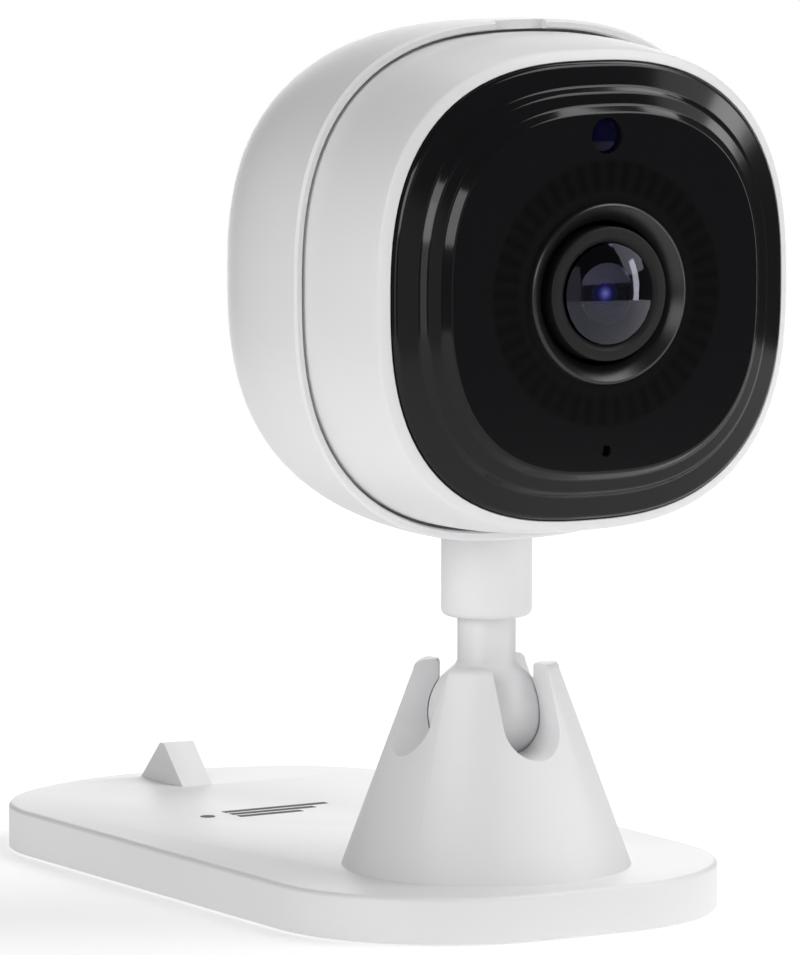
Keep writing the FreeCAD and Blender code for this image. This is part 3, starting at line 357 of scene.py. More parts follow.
# Injection-moulded ABS off a spark-eroded tool: satin white, its grain drawn coarse enough to show.
stand_abs = textured("moulded_abs_white_satin", ("e3e3e4", "e9e9ea"), (0.42, 0.5), 0.35 * mm, 0.006 * mm)
stand_piece = finish_piece(stand, "stand_moulding", stand_abs)
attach(stand_piece, "stand")
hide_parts("base_cover")


# ---- printed mark on the plate --------------------------------------------------------------------------
# Pad-printed grey ink, a few hundredths of a millimetre thick: a plain lens symbol and bars of falling
# length, read from the front of the stand.
ink_rise = 0.03 * mm
mark_middle = Vector((-3.1 * mm, 45.6 * mm, z_top))
lens_symbol = 2.6 * mm
symbol_band = 0.8 * mm
symbol_dot = 0.9 * mm
symbol_offset = -7.6 * mm
bars_start = -4.4 * mm
bar_height = 1.1 * mm
bar_gap = 0.7 * mm
mark = bmesh.new()
symbol_place = Matrix.Translation(mark_middle + Vector((symbol_offset, 0, 0)))
bmesh.ops.create_circle(mark, cap_ends=True, segments=40, radius=lens_symbol, matrix=symbol_place)
disc = mark.faces[:][0]
bmesh.ops.inset_region(mark, faces=[disc], thickness=symbol_band)
bmesh.ops.delete(mark, geom=[disc], context="FACES_ONLY")
bmesh.ops.create_circle(mark, cap_ends=True, segments=24, radius=symbol_dot, matrix=symbol_place)
for row, length in ((1, 14.1 * mm), (0, 11.4 * mm), (-1, 8.6 * mm)):
    start = mark_middle + Vector((bars_start + length / 2, row * (bar_height + bar_gap), 0))
    bmesh.ops.create_grid(mark, x_segments=1, y_segments=1, size=0.5,
                          matrix=Matrix.Translation(start) @ Matrix.Diagonal((length, bar_height, 1, 1)))
made = bmesh.ops.extrude_face_region(mark, geom=mark.faces[:])["geom"]
bmesh.ops.translate(mark, verts=[g for g in made if isinstance(g, bmesh.types.BMVert)], vec=(0, 0, ink_rise))
bmesh.ops.recalc_face_normals(mark, faces=mark.faces)

# Solvent ink: flat dark grey, slightly uneven where the pad lifted.
print_ink = textured("pad_printed_ink", ("2c2d2f", "3a3b3d"), (0.6, 0.7), 0.3 * mm, 0.004 * mm,
                     cloud=1.5 * mm)
mark_piece = finish_piece(mark, "printed_symbol", print_ink)
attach(mark_piece, "stand")


# ---- ball stud ------------------------------------------------------------------------------------------
# A moulded ball and neck in one, white like the stand; the stepped journal at its top carries the head and is
# bored for the swivel screw.
rear_low, rear_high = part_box("rear_shell")
z_collar = rear_low.z
step_height = 3.0 * mm
z_step = z_collar + step_height
z_stud_end = stud_high.z
neck_radius = 3.335 * mm
journal_radius = 2.4 * mm
screw_bore = 1.02 * mm
bore_depth = 6.5 * mm
neck_fillet = 0.6 * mm
stud = bmesh.new()
pen = stud.verts.new((0, 0, z_ball - ball_radius))
reach = math.degrees(math.asin(neck_radius / ball_radius))
neck_blend = 4
pen = arc_to(stud, pen, (0, 0, z_ball), -(180 - reach - neck_blend), lens_axis, 40)
pen = line_to(stud, pen, (neck_radius, 0, pen.co.z + neck_fillet))
for radius, z in ((neck_radius, z_step), (journal_radius, z_step), (journal_radius, z_stud_end),
                  (screw_bore, z_stud_end), (screw_bore, z_stud_end - bore_depth),
                  (0, z_stud_end - bore_depth)):
    pen = line_to(stud, pen, (radius, 0, z))
turn(stud)
stud_piece = finish_piece(stud, "ball_and_neck", stand_abs)
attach(stud_piece, "ball_stud")
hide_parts("ball_stud")


# ---- rear shell of the head -----------------------------------------------------------------------------
# Half of the head's case with the collar for the stud moulded under it. Its rim laps over the front shell,
# with a pry notch at the top; the back has the speaker's holes and the openings for power, card and button.
glass_low, glass_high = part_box("lens_front_glass")
z_head = (glass_low.z + glass_high.z) / 2
head_power = 2.6
head_points = 128
head_half = 28.0 * mm
rear_half = rear_high.x
y_seam = rear_low.y
y_back = rear_high.y
rear_depth = y_back - y_seam
rear_wall = 2.0 * mm
dome_depth = 34.0 * mm
dome_power = 2.65
seam_gap = 0.35 * mm
rim_ease = 0.3 * mm
lip_ease = 0.2 * mm
lap_depth = 2.95 * mm
rear_round = 2.5 * mm
collar_radius = 5.2 * mm
collar_round = 0.8 * mm
notch_size = Vector((6.6, 0.8, 2.8)) * mm
grille_pitch = 2.0 * mm
grille_hole = 0.55 * mm
grille_radius = 7.2 * mm


def rounded_square(bm, half, y):
    """Ring of a rounded square round the lens axis; returns its edges."""
    across = Matrix.Translation((0, y, z_head)) @ Matrix.Rotation(math.pi / 2, 4, "X")
    ring = bmesh.ops.create_circle(bm, cap_ends=False, segments=head_points, radius=half,
                                   matrix=across)["verts"]
    for vert in ring:
        x, z = abs(vert.co.x) / half, abs(vert.co.z - z_head) / half
        swell = (x ** head_power + z ** head_power) ** (-1 / head_power)
        vert.co.x *= swell
        vert.co.z = z_head + (vert.co.z - z_head) * swell
    return list({e for v in ring for e in v.link_edges})


def push_through(bm, edges, stations):
    """Draws a ring of edges through (y, half size) stations; the first is where it is. Returns every ring."""
    rings = [edges]
    for (y, half), (next_y, next_half) in zip(stations, stations[1:]):
        made = bmesh.ops.extrude_edge_only(bm, edges=rings[-1])["geom"]
        verts = [g for g in made if isinstance(g, bmesh.types.BMVert)]
        size = next_half / half
        bmesh.ops.scale(bm, verts=verts, vec=(size, 1, size), space=Matrix.Translation((0, 0, -z_head)))
        bmesh.ops.translate(bm, verts=verts, vec=(0, next_y - y, 0))
        rings.append([g for g in made if isinstance(g, bmesh.types.BMEdge) and g.is_boundary])
    return rings


def loft(stations):
    """Closed solid through rounded squares; returns it and its rings."""
    bm = bmesh.new()
    rings = push_through(bm, rounded_square(bm, stations[0][1], stations[0][0]), stations)
    for ring in (rings[0], rings[-1]):
        cap = bmesh.ops.contextual_create(bm, geom=ring)["faces"]
        bmesh.ops.inset_region(bm, faces=cap, thickness=0.3 * mm)
    bmesh.ops.recalc_face_normals(bm, faces=bm.faces)
    return bm, rings


def dome_half(depth):
    """Half size of the rear shell at a depth behind the seam."""
    return rear_half * (1 - (depth / dome_depth) ** dome_power) ** (1 / dome_power)


inner_end = rear_depth - rear_wall
inner_steps = 12
inner_depths = [inner_end * (1 - i / inner_steps) for i in range(inner_steps - 1)]
inner = [(y_seam + depth, dome_half(depth) - rear_wall) for depth in inner_depths]
lip = [(y_seam + lap_depth, dome_half(lap_depth) - rear_wall), (y_seam + lap_depth, head_half + seam_gap),
       (y_seam + rim_ease, head_half + seam_gap), (y_seam, head_half + seam_gap + lip_ease),
       (y_seam, rear_half - rim_ease), (y_seam + rim_ease, rear_half)]
outer_steps = 18
outer = [(y_seam + rear_depth * i / outer_steps, dome_half(rear_depth * i / outer_steps))
         for i in range(1, outer_steps + 1)]
shell, rings = loft(inner + lip + outer)
ease_edges(shell, rings[-1], rear_round, 6)

collar = bmesh.new()
z_collar_top = z_head - rear_half * 0.8
pen = collar.verts.new((0, 0, z_collar))
pen = line_to(collar, pen, (collar_radius - collar_round, 0, z_collar))
pen = arc_to(collar, pen, (collar_radius - collar_round, 0, z_collar + collar_round), -90, lens_axis, 6)
pen = line_to(collar, pen, (collar_radius, 0, z_collar_top))
line_to(collar, pen, (0, 0, z_collar_top))
turn(collar)
inside = loft([(y_seam - 1 * mm, dome_half(0) - rear_wall)] + inner[::-1])[0]
collar = carve(collar, [inside])
shell = carve(shell, [collar], "UNION")

# Openings in the back, at the sockets, the button and the speaker behind them.
usb_low, usb_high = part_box("usb_socket")
card_low, card_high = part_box("memory_card")
button_low, button_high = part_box("reset_button")
speaker_low, speaker_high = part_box("speaker_frame")
port_gap = 0.35 * mm
card_gap = 0.05 * mm
button_hole = 1.25 * mm
through = 3 * mm
usb_middle = (usb_low + usb_high) / 2
usb_half = (usb_high - usb_low) / 2
usb_reach = usb_half.x - usb_half.z
usb_radius = usb_half.z + port_gap
y_cut = y_back - through
openings = []
port = bmesh.new()
pen = port.verts.new((usb_middle.x - usb_reach, y_cut, usb_middle.z - usb_radius))
pen = line_to(port, pen, (usb_middle.x + usb_reach, y_cut, usb_middle.z - usb_radius))
pen = arc_to(port, pen, (usb_middle.x + usb_reach, y_cut, usb_middle.z), -180, lens_axis, 16)
pen = line_to(port, pen, (usb_middle.x - usb_reach, y_cut, usb_middle.z + usb_radius))
arc_to(port, pen, (usb_middle.x - usb_reach, y_cut, usb_middle.z), -180, lens_axis, 16)
bmesh.ops.remove_doubles(port, verts=port.verts, dist=clean_up)
face = bmesh.ops.contextual_create(port, geom=port.edges[:])["faces"][0]
draw_out(port, face, (0, 2 * through, 0))
openings.append(port)
openings.append(box((card_low.x - card_gap, y_cut, card_low.z - card_gap),
                    (card_high.x + card_gap, y_back + through, card_high.z + card_gap)))
card_middle = (card_low + card_high) / 2
finger_notch = card_high.x - card_middle.x - 2 * mm
openings.append(cylinder(finger_notch, 2 * mm, (card_middle.x, y_back, card_middle.z), "Y"))
button_middle = (button_low + button_high) / 2
openings.append(cylinder(button_hole, 3 * through, (button_middle.x, y_back, button_middle.z), "Y"))
speaker_middle = (speaker_low + speaker_high) / 2
grille = bmesh.new()
rise = grille_pitch * math.sqrt(3) / 2
rows = int(grille_radius / rise)
for row in range(-rows, rows + 1):
    for column in range(-4, 5):
        x, z = column * grille_pitch + (row % 2) * grille_pitch / 2, row * rise
        if math.hypot(x, z) <= grille_radius:
            place = Matrix.Translation((speaker_middle.x + x, y_back, speaker_middle.z + z))
            bmesh.ops.create_cone(grille, cap_ends=True, segments=20, radius1=grille_hole,
                                  radius2=grille_hole, depth=3 * through,
                                  matrix=place @ Matrix.Rotation(math.pi / 2, 4, "X"))
openings.append(grille)
openings.append(box((-notch_size.x / 2, y_seam - 1 * mm, z_head + head_half),
                    (notch_size.x / 2, y_seam + notch_size.y, z_head + head_half + notch_size.z)))
stud_gap = 0.05 * mm
openings.append(cylinder(neck_radius + stud_gap, 2 * (z_step + stud_gap - z_collar), (0, 0, z_collar)))
stud_reach = 40 * mm
openings.append(cylinder(journal_radius + stud_gap, stud_reach, (0, 0, z_collar + 5 * mm), segments=32))
shell = carve(shell, openings)

# The same ABS as the stand's, from a finer tool: a little smoother.
head_abs = textured("moulded_abs_white_fine", ("e4e4e5", "eaeaeb"), (0.38, 0.46), 0.3 * mm, 0.004 * mm)
rear_piece = finish_piece(shell, "rear_case", head_abs)
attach(rear_piece, "head")
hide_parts("rear_shell")


# ---- speaker, ports and button on the back --------------------------------------------------------------
# A small loudspeaker is glued behind the holes; the port board carries a steel power inlet, a steel card cage
# and a reset switch whose white button shows beside the card.
# Deep-drawn, nickel-plated steel: bright, with faint drawing lines.
nickel_plated = textured("nickel_plated_steel", ("b4b2ad", "c9c7c2"), (0.22, 0.34), 0.25 * mm, 0.003 * mm,
                         cloud=3 * mm, stretch=(1, 0.1, 1), Metallic=1.0)
dress(nickel_plated, "usb_socket", "card_socket", "speaker_frame", "wifi_shield")

# Pressed paper cone: soft, fibrous and black.
cone_paper = textured("pressed_paper", ("1b1b1c", "262627"), (0.85, 0.95), 0.5 * mm, 0.03 * mm, cloud=2 * mm)
dress(cone_paper, "speaker_diaphragm")

# Closed-cell foam: tiny open pores at its skin.
foam = textured("closed_cell_foam", ("232324", "303031"), (0.9, 1.0), 0.4 * mm, 0.05 * mm, cloud=3 * mm)
dress(foam, "speaker_seal", "window_gasket", "thermal_pad")

# Moulded PBT: dull black, lightly grained.
black_pbt = textured("moulded_pbt_black", ("161617", "1e1e1f"), (0.45, 0.6), 0.3 * mm, 0.006 * mm,
                     cloud=4 * mm)
dress(black_pbt, "reset_switch", "io_connector", "ribbon_sockets", "memory_card", "lens_holder",
      "filter_slider")
dress(head_abs, "reset_button")


# ---- boards inside the head -----------------------------------------------------------------------------
# Two glass-epoxy boards stand on brass pillars, with the processor's heat led to an aluminium plate.
# Solder mask covers copper tracks, which show through it as a fine relief and a lighter green.
def circuit_board(name, mask, track, pitch):
    """Solder-masked board with tracks on a pitch."""
    material, tree, shader = new_material(name, Roughness=0.35)
    place = add_node(tree, "ShaderNodeTexCoord").outputs["Object"]
    flat = add_node(tree, "ShaderNodeMapping", {"Rotation": (math.pi / 2, 0, 0)}, {"Vector": place})
    tracks = add_node(tree, "ShaderNodeTexBrick",
                      {"Scale": 1 / pitch, "Mortar Size": 0.12, "Color1": srgb(mask), "Color2": srgb(mask),
                       "Mortar": srgb(track), "Brick Width": 3.0, "Row Height": 1.0},
                      {"Vector": flat.outputs["Vector"]})
    bump = add_node(tree, "ShaderNodeBump", {"Strength": 1.0, "Distance": 0.035 * mm},
                    {"Height": tracks.outputs["Fac"]})
    tree.links.new(tracks.outputs["Color"], shader.inputs["Base Color"])
    tree.links.new(bump.outputs["Normal"], shader.inputs["Normal"])
    return material


dress(circuit_board("solder_masked_board_green", "0e3b26", "1c5c3d", 1.0 * mm),
      "main_board", "sensor_board", "io_board")
dress(circuit_board("solder_masked_board_black", "0b0b0c", "17181a", 1.2 * mm), "ir_led_board")

# Epoxy moulding compound: matt black with a fine sandy skin.
chip_epoxy = textured("epoxy_moulding_compound", ("17181a", "202124"), (0.55, 0.7), 0.2 * mm, 0.01 * mm,
                      cloud=3 * mm)
dress(chip_epoxy, "processor", "image_sensor", "light_sensor", "microphone")

# Turned brass and anodised aluminium: fine turning lines, and a satin skin.
turned_brass = textured("turned_brass", ("b08d4c", "c2a05c"), (0.25, 0.35), 0.3 * mm, 0.005 * mm,
                        cloud=3 * mm, stretch=(0.1, 1, 0.1), Metallic=1.0)
dress(turned_brass, "board_standoffs", "lens_lock_ring")
anodised = textured("anodised_aluminium", ("a4a7aa", "b4b7ba"), (0.35, 0.45), 0.25 * mm, 0.004 * mm,
                    Metallic=1.0)
dress(anodised, "heat_spreader")

# Enamelled copper wire, wound on a bobbin: close turns round the coil's axis. Its colour follows the turns'
# relief, as painted shade darker in the grooves between turns and a painted highlight lighter on their
# crests.
wire, wire_tree, wire_shader = new_material("enamelled_copper_wire", Metallic=1.0, Roughness=0.3)
wire_place = add_node(wire_tree, "ShaderNodeTexCoord").outputs["Object"]
turns = add_node(wire_tree, "ShaderNodeTexWave", {"bands_direction": "Y", "Scale": 1 / (3.2 * mm)},
                 {"Vector": wire_place})
turn_bump = add_node(wire_tree, "ShaderNodeBump", {"Strength": 1.0, "Distance": 0.05 * mm},
                     {"Height": turns.outputs["Fac"]})
# Painted shade in the grooves and painted highlight on the crests, on the same waves as the relief.
turn_painted_shade_and_highlight = add_node(wire_tree, "ShaderNodeMix", {"data_type": "RGBA", 6: srgb("7a3f22"), 7: srgb("b5673a")},
                     {0: turns.outputs["Fac"]})
wire_tree.links.new(turn_painted_shade_and_highlight.outputs[2], wire_shader.inputs["Base Color"])
wire_tree.links.new(turn_bump.outputs["Normal"], wire_shader.inputs["Normal"])
dress(wire, "filter_coil")

# Polyimide film over copper: amber, smooth, faintly rippled.
film = textured("polyimide_film", ("8a4f17", "a8662a"), (0.3, 0.4), 2 * mm, 0.02 * mm, cloud=4 * mm)
dress(film, "ribbon_cable", "wifi_antenna")
dress(silicone, "microphone_boot")

# Cast clear epoxy over the emitters: water-clear, with a faint smoky tint.
led_epoxy, led_tree, led_shader = new_material("cast_clear_epoxy", Roughness=0.08, IOR=1.54)
led_place = add_node(led_tree, "ShaderNodeTexCoord").outputs["Object"]
led_drift = add_node(led_tree, "ShaderNodeTexNoise", {"Scale": 1 / (1 * mm)}, {"Vector": led_place})
led_tone = add_node(led_tree, "ShaderNodeMix", {"data_type": "RGBA", 6: srgb("3a3a48"), 7: srgb("6a6a7c")},
                    {0: led_drift.outputs["Fac"]})
led_tree.links.new(led_tone.outputs[2], led_shader.inputs["Base Color"])
dress(led_epoxy, "ir_leds", "status_led")


# ---- lens -----------------------------------------------------------------------------------------------
# A turned black barrel screws into the holder. Its bulging front element is coated and clear, and shows in
# its depth a blue pupil, a painted reflection on the element group behind it. The filters behind it slide
# across the image sensor.
barrel_low, barrel_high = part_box("lens_barrel")
y_hood = barrel_low.y
hood_radius = barrel_high.x
glass_radius = glass_high.x
y_crown = glass_low.y
bulge = 1.3 * mm
y_glass_seat = glass_high.y
thread_radius = 6.0 * mm
hood_depth = 5.5 * mm
seat_bore = 3.2 * mm
rear_seat = 2.5 * mm
rear_glass_radius = 3.65 * mm
hood_round = 0.3 * mm
glass_clear = 0.15 * mm
hood_chamfer = Vector((0.6, 0.5)) * mm


def lens_point(radius, y):
    """Point of a half profile that is turned round the lens axis."""
    return (radius, y, z_head)


barrel = bmesh.new()
recess = glass_radius + glass_clear
pen = barrel.verts.new(lens_point(hood_radius, y_hood + hood_round))
pen = arc_to(barrel, pen, lens_point(hood_radius - hood_round, y_hood + hood_round), -90, stem_axis, 5)
for radius, y in ((recess + hood_chamfer.x, y_hood), (recess, y_hood + hood_chamfer.y),
                  (recess, y_glass_seat), (seat_bore, y_glass_seat),
                  (seat_bore, barrel_high.y - rear_seat), (rear_glass_radius, barrel_high.y - rear_seat),
                  (rear_glass_radius, barrel_high.y), (thread_radius, barrel_high.y),
                  (thread_radius, y_hood + hood_depth), (hood_radius, y_hood + hood_depth),
                  (hood_radius, y_hood + hood_round)):
    pen = line_to(barrel, pen, lens_point(radius, y))
bmesh.ops.remove_doubles(barrel, verts=barrel.verts, dist=clean_up)
turn(barrel, lens_point(0, 0), lens_axis)

# Black-anodised aluminium: dark, satin, with turning rings that show as a faint sheen.
lens_black = textured("black_anodised_aluminium", ("141415", "1b1b1c"), (0.5, 0.56), 0.25 * mm, 0.0002 * mm,
                      cloud=3 * mm, Specular_IOR_Level=0.25)
barrel_piece = finish_piece(barrel, "lens_hood_and_tube", lens_black)
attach(barrel_piece, "head")
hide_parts("lens_barrel")

dome_radius = (glass_radius ** 2 + bulge ** 2) / (2 * bulge)
spread = math.degrees(math.asin(glass_radius / dome_radius))
glass = bmesh.new()
pen = glass.verts.new(lens_point(0, y_crown))
pen = arc_to(glass, pen, lens_point(0, y_crown + dome_radius), spread, stem_axis, 24)
pen = line_to(glass, pen, lens_point(glass_radius, y_glass_seat))
line_to(glass, pen, lens_point(0, y_glass_seat))
turn(glass, lens_point(0, 0), lens_axis)

# Polished, coated glass, clear through, so that the elements behind it show in their depth.
coated = new_material("coated_optical_glass", Roughness=0.04, IOR=1.5, Transmission_Weight=1.0,
                      Specular_IOR_Level=0.07, Base_Color=srgb("dcdcf2"), Specular_Tint=srgb("e4e4ff"))[0]
glass_piece = finish_piece(glass, "front_element", coated)
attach(glass_piece, "head")
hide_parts("lens_front_glass")

# The element group behind it, a shallow dome that fills the barrel's bore.
group_gap = 0.02 * mm
group_radius = seat_bore - group_gap
group_bulge = 0.5 * mm
group_length = 2 * mm
y_group = y_glass_seat + 0.3 * mm
group_dome = (group_radius ** 2 + group_bulge ** 2) / (2 * group_bulge)
group = bmesh.new()
pen = group.verts.new(lens_point(0, y_group))
group_spread = math.degrees(math.asin(group_radius / group_dome))
pen = arc_to(group, pen, lens_point(0, y_group + group_dome), group_spread, stem_axis, 16)
pen = line_to(group, pen, lens_point(group_radius, y_group + group_length))
line_to(group, pen, lens_point(0, y_group + group_length))
turn(group, lens_point(0, 0), lens_axis)

# Coated elements: painted black stands for the shade in the lens's depth, and a painted reflection of the
# coatings shows as a blue pupil ringed in violet, with a painted glint, near white, at its middle.
painted_reflection_glass, pupil_tree, pupil_shader = new_material("coated_element_group_painted_reflection", Roughness=0.12, IOR=1.6,
                                                     Specular_IOR_Level=0.05)
pupil_place = add_node(pupil_tree, "ShaderNodeTexCoord").outputs["Object"]
centred = add_node(pupil_tree, "ShaderNodeMapping", {"Location": (0, 0, -z_head), "Scale": (1, 0, 1)},
                   {"Vector": pupil_place})
distance = add_node(pupil_tree, "ShaderNodeVectorMath", {"operation": "LENGTH"},
                    {0: centred.outputs["Vector"]})
share = add_node(pupil_tree, "ShaderNodeMapRange", {"From Max": group_radius},
                 {"Value": distance.outputs["Value"]})
# The ramp paints light and shade: a near-white painted glint at the middle, a blue pupil and violet ring as
# painted reflection, and black as painted shade round them.
pupil = add_node(pupil_tree, "ShaderNodeValToRGB", None, {"Fac": share.outputs["Result"]})
stops = pupil.color_ramp
for place, code in ((0.08, "8f93d8"), (0.16, "5a60b4"), (0.24, "2a2a78"), (0.32, "14143a"),
                    (0.42, "1e1e3c"), (0.5, "0c0c12")):
    stops.elements.new(place).color = srgb(code)
stops.elements[0].color = srgb("b9bbe8")
stops.elements[-1].color = srgb("08080a")
pupil_tree.links.new(pupil.outputs["Color"], pupil_shader.inputs["Base Color"])
group_piece = finish_piece(group, "element_group", painted_reflection_glass)
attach(group_piece, "head")

# Filters: coated glass panes, one that stops infrared and looks pink-brown, one clear.
infrared_pane = textured("infrared_cut_glass", ("4a2030", "5c2a3c"), (0.04, 0.06), 1 * mm, 0.0005 * mm,
                         IOR=1.52)
dress(infrared_pane, "infrared_cut_filter")
clear_pane = textured("clear_filter_glass", ("c4ccd0", "d2dade"), (0.04, 0.06), 1 * mm, 0.0005 * mm, IOR=1.52)
dress(clear_pane, "clear_filter", "lens_rear_glass")


# ---- front shell ----------------------------------------------------------------------------------------
# The other half of the case: its skirt snaps into the rear shell, its front edge is chamfered round the
# window, and a shelf inside carries the window on a foam gasket.
front_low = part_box("front_shell")[0]
window_low, window_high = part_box("front_window")
window_half = window_high.x
y_outline = front_low.y
rim_chamfer = 0.8 * mm
rim_width = 1.2 * mm
rim_round = 0.2 * mm
y_front = y_outline + rim_chamfer
front_depth = y_seam - y_front
front_taper = 1.15 * mm
front_curve = 2.2
front_wall = 1.6 * mm
window_gap = 0.1 * mm
skirt_depth = 2.6 * mm
shelf_bore = 19.4 * mm
gasket_room = 0.3 * mm
shelf_depth = 1.5 * mm


def front_half(depth):
    """Half size of the front shell at a distance ahead of the seam."""
    return head_half - front_taper * (max(depth, 0.0) / front_depth) ** front_curve


edge_half = front_half(front_depth)
front_steps = 14
outer = [(y_seam + skirt_depth, head_half)]
outer += [(y_seam - front_depth * i / front_steps, front_half(front_depth * i / front_steps))
          for i in range(front_steps + 1)]
shelf_front = window_high.y + gasket_room
shelf_back = window_high.y + shelf_depth
rim = [(y_outline, edge_half - rim_width), (shelf_front, window_half + window_gap), (shelf_front, shelf_bore)]
inside_wall = [(shelf_back, shelf_bore), (shelf_back, front_half(y_seam - shelf_back) - front_wall),
               (y_seam, head_half - front_wall), (y_seam + skirt_depth, head_half - front_wall),
               (y_seam + skirt_depth, head_half)]
front = bmesh.new()
stations = outer + rim + inside_wall
rings = push_through(front, rounded_square(front, stations[0][1], stations[0][0]), stations)
bmesh.ops.remove_doubles(front, verts=front.verts, dist=clean_up)
bmesh.ops.recalc_face_normals(front, faces=front.faces)
ease_edges(front, rings[front_steps + 1] + rings[front_steps + 2], rim_round, 3)
front_piece = finish_piece(front, "front_case", head_abs)
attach(front_piece, "head")
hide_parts("front_shell")


# ---- front window, its ports and the lens trim ring -----------------------------------------------------
# A glossy smoked cover that passes infrared: its border climbs in steps to a flat, with a plugged port for
# the light sensor above the lens and a microphone's pinhole below. A black ring trims the lens's opening.
# Each step is how far inward and how far ahead of the shell's front it lies, in millimetres.
window_steps = ((0.35, 0.55), (2.7, 1.2), (3.3, 2.2), (4.7, 2.6), (5.5, 3.7))
window_wall = 1.6 * mm
foot_inset = 1.1 * mm
window_depth = 6 * mm
crest_round = 0.22 * mm
ring_lap = 0.45 * mm
port_radius = 2.0 * mm
pinhole_radius = 0.65 * mm
plug_low, plug_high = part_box("light_pipe")
ring_low, ring_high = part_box("lens_trim_ring")
z_sensor = (plug_low.z + plug_high.z) / 2
z_microphone = 2 * z_head - z_sensor
y_window = window_low.y
flat_half = window_half - window_steps[-1][0] * mm
profile = [(window_high.y, window_half), (y_outline, window_half)]
profile += [(y_outline - ahead * mm, window_half - inward * mm) for inward, ahead in window_steps]
behind = [(window_high.y, window_half - window_wall),
          (y_outline, window_half - window_wall - foot_inset),
          (y_window + window_wall, flat_half - window_wall / 2)]
window, rings = loft(behind[::-1] + profile)
crests = [e for ring in rings[len(behind) + 1:] for e in ring]
ease_edges(window, crests, crest_round, 4)
bores = [cylinder(ring_high.x - ring_lap, window_depth, lens_point(0, y_window), "Y", 96),
         cylinder(port_radius, window_depth, (0, y_window, z_sensor), "Y", 48),
         cylinder(pinhole_radius, window_depth, (0, y_window, z_microphone), "Y", 32)]
window = carve(window, bores)

# Smoked acrylic, polished: near black. The emitters behind it read as a ring of darker ribs round the lens.
smoked, smoked_tree, smoked_shader = new_material("polished_smoked_acrylic", Roughness=0.11, IOR=1.49,
                                                  Specular_IOR_Level=0.25)
smoked_place = add_node(smoked_tree, "ShaderNodeTexCoord").outputs["Object"]
about_lens = add_node(smoked_tree, "ShaderNodeMapping", {"Location": (0, 0, -z_head)},
                      {"Vector": smoked_place})
flat_place = add_node(smoked_tree, "ShaderNodeVectorMath", {"operation": "MULTIPLY", 1: (1, 0, 1)},
                      {0: about_lens.outputs["Vector"]})
out = add_node(smoked_tree, "ShaderNodeVectorMath", {"operation": "LENGTH"},
               {0: flat_place.outputs["Vector"]})
parts = add_node(smoked_tree, "ShaderNodeSeparateXYZ", None, {"Vector": flat_place.outputs["Vector"]})
angle = add_node(smoked_tree, "ShaderNodeMath", {"operation": "ARCTAN2"},
                 {0: parts.outputs["X"], 1: parts.outputs["Z"]})
rib_count = 44
ribs = add_node(smoked_tree, "ShaderNodeMath", {"operation": "MULTIPLY", 1: rib_count},
                {0: angle.outputs["Value"]})
wave = add_node(smoked_tree, "ShaderNodeMath", {"operation": "SINE"}, {0: ribs.outputs["Value"]})
rib_shade = add_node(smoked_tree, "ShaderNodeMapRange", {"From Min": -1.0, "To Min": 0.45, "To Max": 1.0},
                     {"Value": wave.outputs["Value"]})
inner_edge = add_node(smoked_tree, "ShaderNodeMapRange", {"From Min": 11.2 * mm, "From Max": 11.8 * mm},
                      {"Value": out.outputs["Value"]})
outer_edge = add_node(smoked_tree, "ShaderNodeMapRange", {"From Min": 15.0 * mm, "From Max": 14.6 * mm},
                      {"Value": out.outputs["Value"]})
band = add_node(smoked_tree, "ShaderNodeMath", {"operation": "MULTIPLY"},
                {0: inner_edge.outputs["Result"], 1: outer_edge.outputs["Result"]})
shade = add_node(smoked_tree, "ShaderNodeMath", {"operation": "MULTIPLY"},
                 {0: band.outputs["Value"], 1: rib_shade.outputs["Result"]})
tone = add_node(smoked_tree, "ShaderNodeMix", {"data_type": "RGBA", 6: srgb("131315"), 7: srgb("0b0b0c")},
                {0: shade.outputs["Value"]})
smoked_tree.links.new(tone.outputs[2], smoked_shader.inputs["Base Color"])
window_piece = finish_piece(window, "smoked_window", smoked, crease=40.0)
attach(window_piece, "head")
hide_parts("front_window")

# Light port: a clear plug with a slightly domed face, dark blue against the sensor behind it.
plug_radius = plug_high.x
plug_back = y_window + window_wall
stem_radius = plug_radius * 0.55
plug = bmesh.new()
pen = plug.verts.new(lens_point(0, plug_low.y))
plug_bow = 8 * mm
plug_spread = math.degrees(math.asin(plug_radius / plug_bow))
pen = arc_to(plug, pen, lens_point(0, plug_low.y + plug_bow), plug_spread, stem_axis, 8)
for radius, y in ((plug_radius, plug_back), (stem_radius, plug_back), (stem_radius, plug_high.y),
                  (0, plug_high.y)):
    pen = line_to(plug, pen, lens_point(radius, y))
turn(plug, lens_point(0, 0), lens_axis, 48)
bmesh.ops.translate(plug, verts=plug.verts, vec=(0, 0, z_sensor - z_head))
light_glass = textured("moulded_polycarbonate_blue", ("05050f", "0c0c2c"), (0.08, 0.12), 0.5 * mm, 0.001 * mm,
                       cloud=1.2 * mm, Specular_IOR_Level=0.1)
plug_piece = finish_piece(plug, "light_port_plug", light_glass)
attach(plug_piece, "head")
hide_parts("light_pipe")

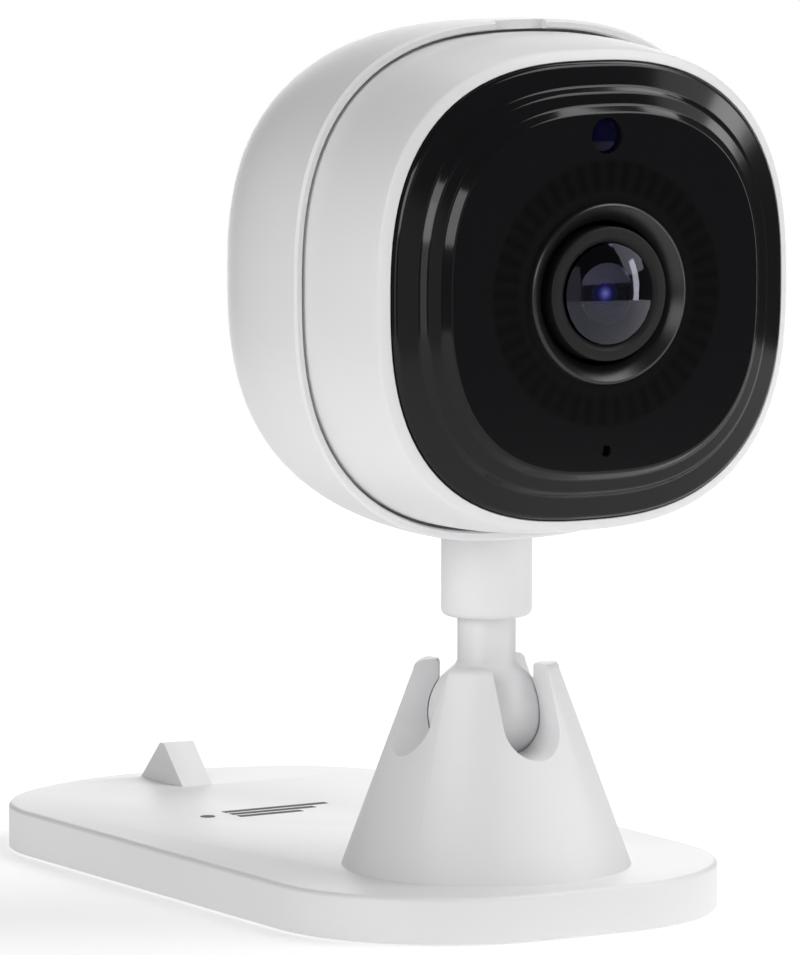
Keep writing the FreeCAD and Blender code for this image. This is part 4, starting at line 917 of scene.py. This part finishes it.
# Trim ring: a narrow crest outside, then a funnel down to the barrel.
crest = 0.4 * mm
funnel_depth = 1.6 * mm
bore_radius = 8.1 * mm
sleeve_radius = 9.6 * mm
trim = bmesh.new()
pen = trim.verts.new(lens_point(ring_high.x, y_window))
pen = line_to(trim, pen, lens_point(ring_high.x, ring_low.y + crest))
pen = arc_to(trim, pen, lens_point(ring_high.x - crest, ring_low.y + crest), -90, stem_axis, 6)
for radius, y in ((bore_radius, ring_low.y + funnel_depth),
                  (bore_radius, ring_high.y), (sleeve_radius, ring_high.y), (sleeve_radius, y_window),
                  (ring_high.x, y_window)):
    pen = line_to(trim, pen, lens_point(radius, y))
bmesh.ops.remove_doubles(trim, verts=trim.verts, dist=clean_up)
turn(trim, lens_point(0, 0), lens_axis)

# Moulded ABS with a fine-ground finish: black and silky.
trim_abs = textured("moulded_abs_black_silk", ("101011", "161617"), (0.28, 0.36), 0.3 * mm, 0.002 * mm,
                    cloud=4 * mm)
trim_piece = finish_piece(trim, "lens_trim", trim_abs, crease=40.0)
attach(trim_piece, "head")
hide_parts("lens_trim_ring")


# ---- studio ---------------------------------------------------------------------------------------------
# A plain pale light table, a dim surround that shows as white, and soft boxes: low in front, on the left,
# high on the right and overhead, a strip and a panel on the right, a strip on the left and a card behind.
scene = bpy.context.scene
scene.view_settings.view_transform = "Standard"
floor_mesh = bmesh.new()
table_radius = 0.42
bmesh.ops.create_circle(floor_mesh, cap_ends=True, segments=128, radius=table_radius)
table_top = textured("opal_acrylic_table", ("f4f4f4", "f7f7f7"), (0.85, 0.9), 2 * mm, 0.001 * mm,
                     Emission_Color=srgb("ffffff"), Emission_Strength=0.36)
floor = finish_piece(floor_mesh, "floor", table_top)

world = bpy.data.worlds.new("surround")
scene.world = world
world.use_nodes = True
surround = world.node_tree
surround_light = surround.nodes["Background"]
surround_light.inputs["Color"].default_value = (1, 1, 1, 1)
seen = add_node(surround, "ShaderNodeLightPath")
strength = add_node(surround, "ShaderNodeMapRange", {"To Min": 0.08, "To Max": 1.0},
                    {"Value": seen.outputs["Is Camera Ray"]})
surround.links.new(strength.outputs["Result"], surround_light.inputs["Strength"])

# Each soft box: place, width, height and brightness of its face; all are aimed at the head.
soft_boxes = {
    "front": ((-0.25, -0.60, 0.15), 0.40, 0.40, 0.5),
    "front_left": ((-0.54, -0.24, 0.30), 0.30, 0.30, 5.3),
    "high_right": ((0.30, -0.18, 0.54), 0.36, 0.36, 4.1),
    "overhead": ((0.28, 0.26, 0.52), 0.60, 0.14, 2.9),
    "right_strip": ((0.50, -0.32, 0.10), 0.08, 0.34, 7.0),
    "right_panel": ((0.42, -0.26, 0.28), 0.26, 0.26, 1.6),
    "left_strip": ((-0.56, -0.12, 0.10), 0.10, 0.45, 1.8),
    "rear_card": ((0.30, 0.60, 0.12), 0.40, 0.40, 2.5),
}
for name, (place, width, height, brightness) in soft_boxes.items():
    lamp = bpy.data.lights.new(name, "AREA")
    lamp.shape = "RECTANGLE"
    lamp.size = width
    lamp.size_y = height
    lamp.energy = brightness * math.pi * width * height
    soft_box = bpy.data.objects.new(name, lamp)
    scene.collection.objects.link(soft_box)
    soft_box.location = place
    soft_box.rotation_euler = (Vector((0, 0, z_head)) - Vector(place)).to_track_quat("-Z", "Y").to_euler()

azimuth, elevation = math.radians(-31.56), math.radians(6.99)
target = Vector((0, 0, 0.04525))
view_distance = 0.943
aside, above = -0.00987, 0.00458
back = Vector((math.sin(azimuth) * math.cos(elevation), -math.cos(azimuth) * math.cos(elevation),
               math.sin(elevation)))
right = Vector((math.cos(azimuth), math.sin(azimuth), 0))
aim = target + right * aside + back.cross(right) * above
camera = bpy.data.cameras.new("camera")
camera.lens = 312.24
camera.sensor_width = 36.0
camera.clip_start = 0.01
camera_object = bpy.data.objects.new("camera", camera)
scene.collection.objects.link(camera_object)
camera_object.location = target + back * view_distance
camera_object.rotation_euler = (aim - camera_object.location).to_track_quat("-Z", "Y").to_euler()
scene.camera = camera_object
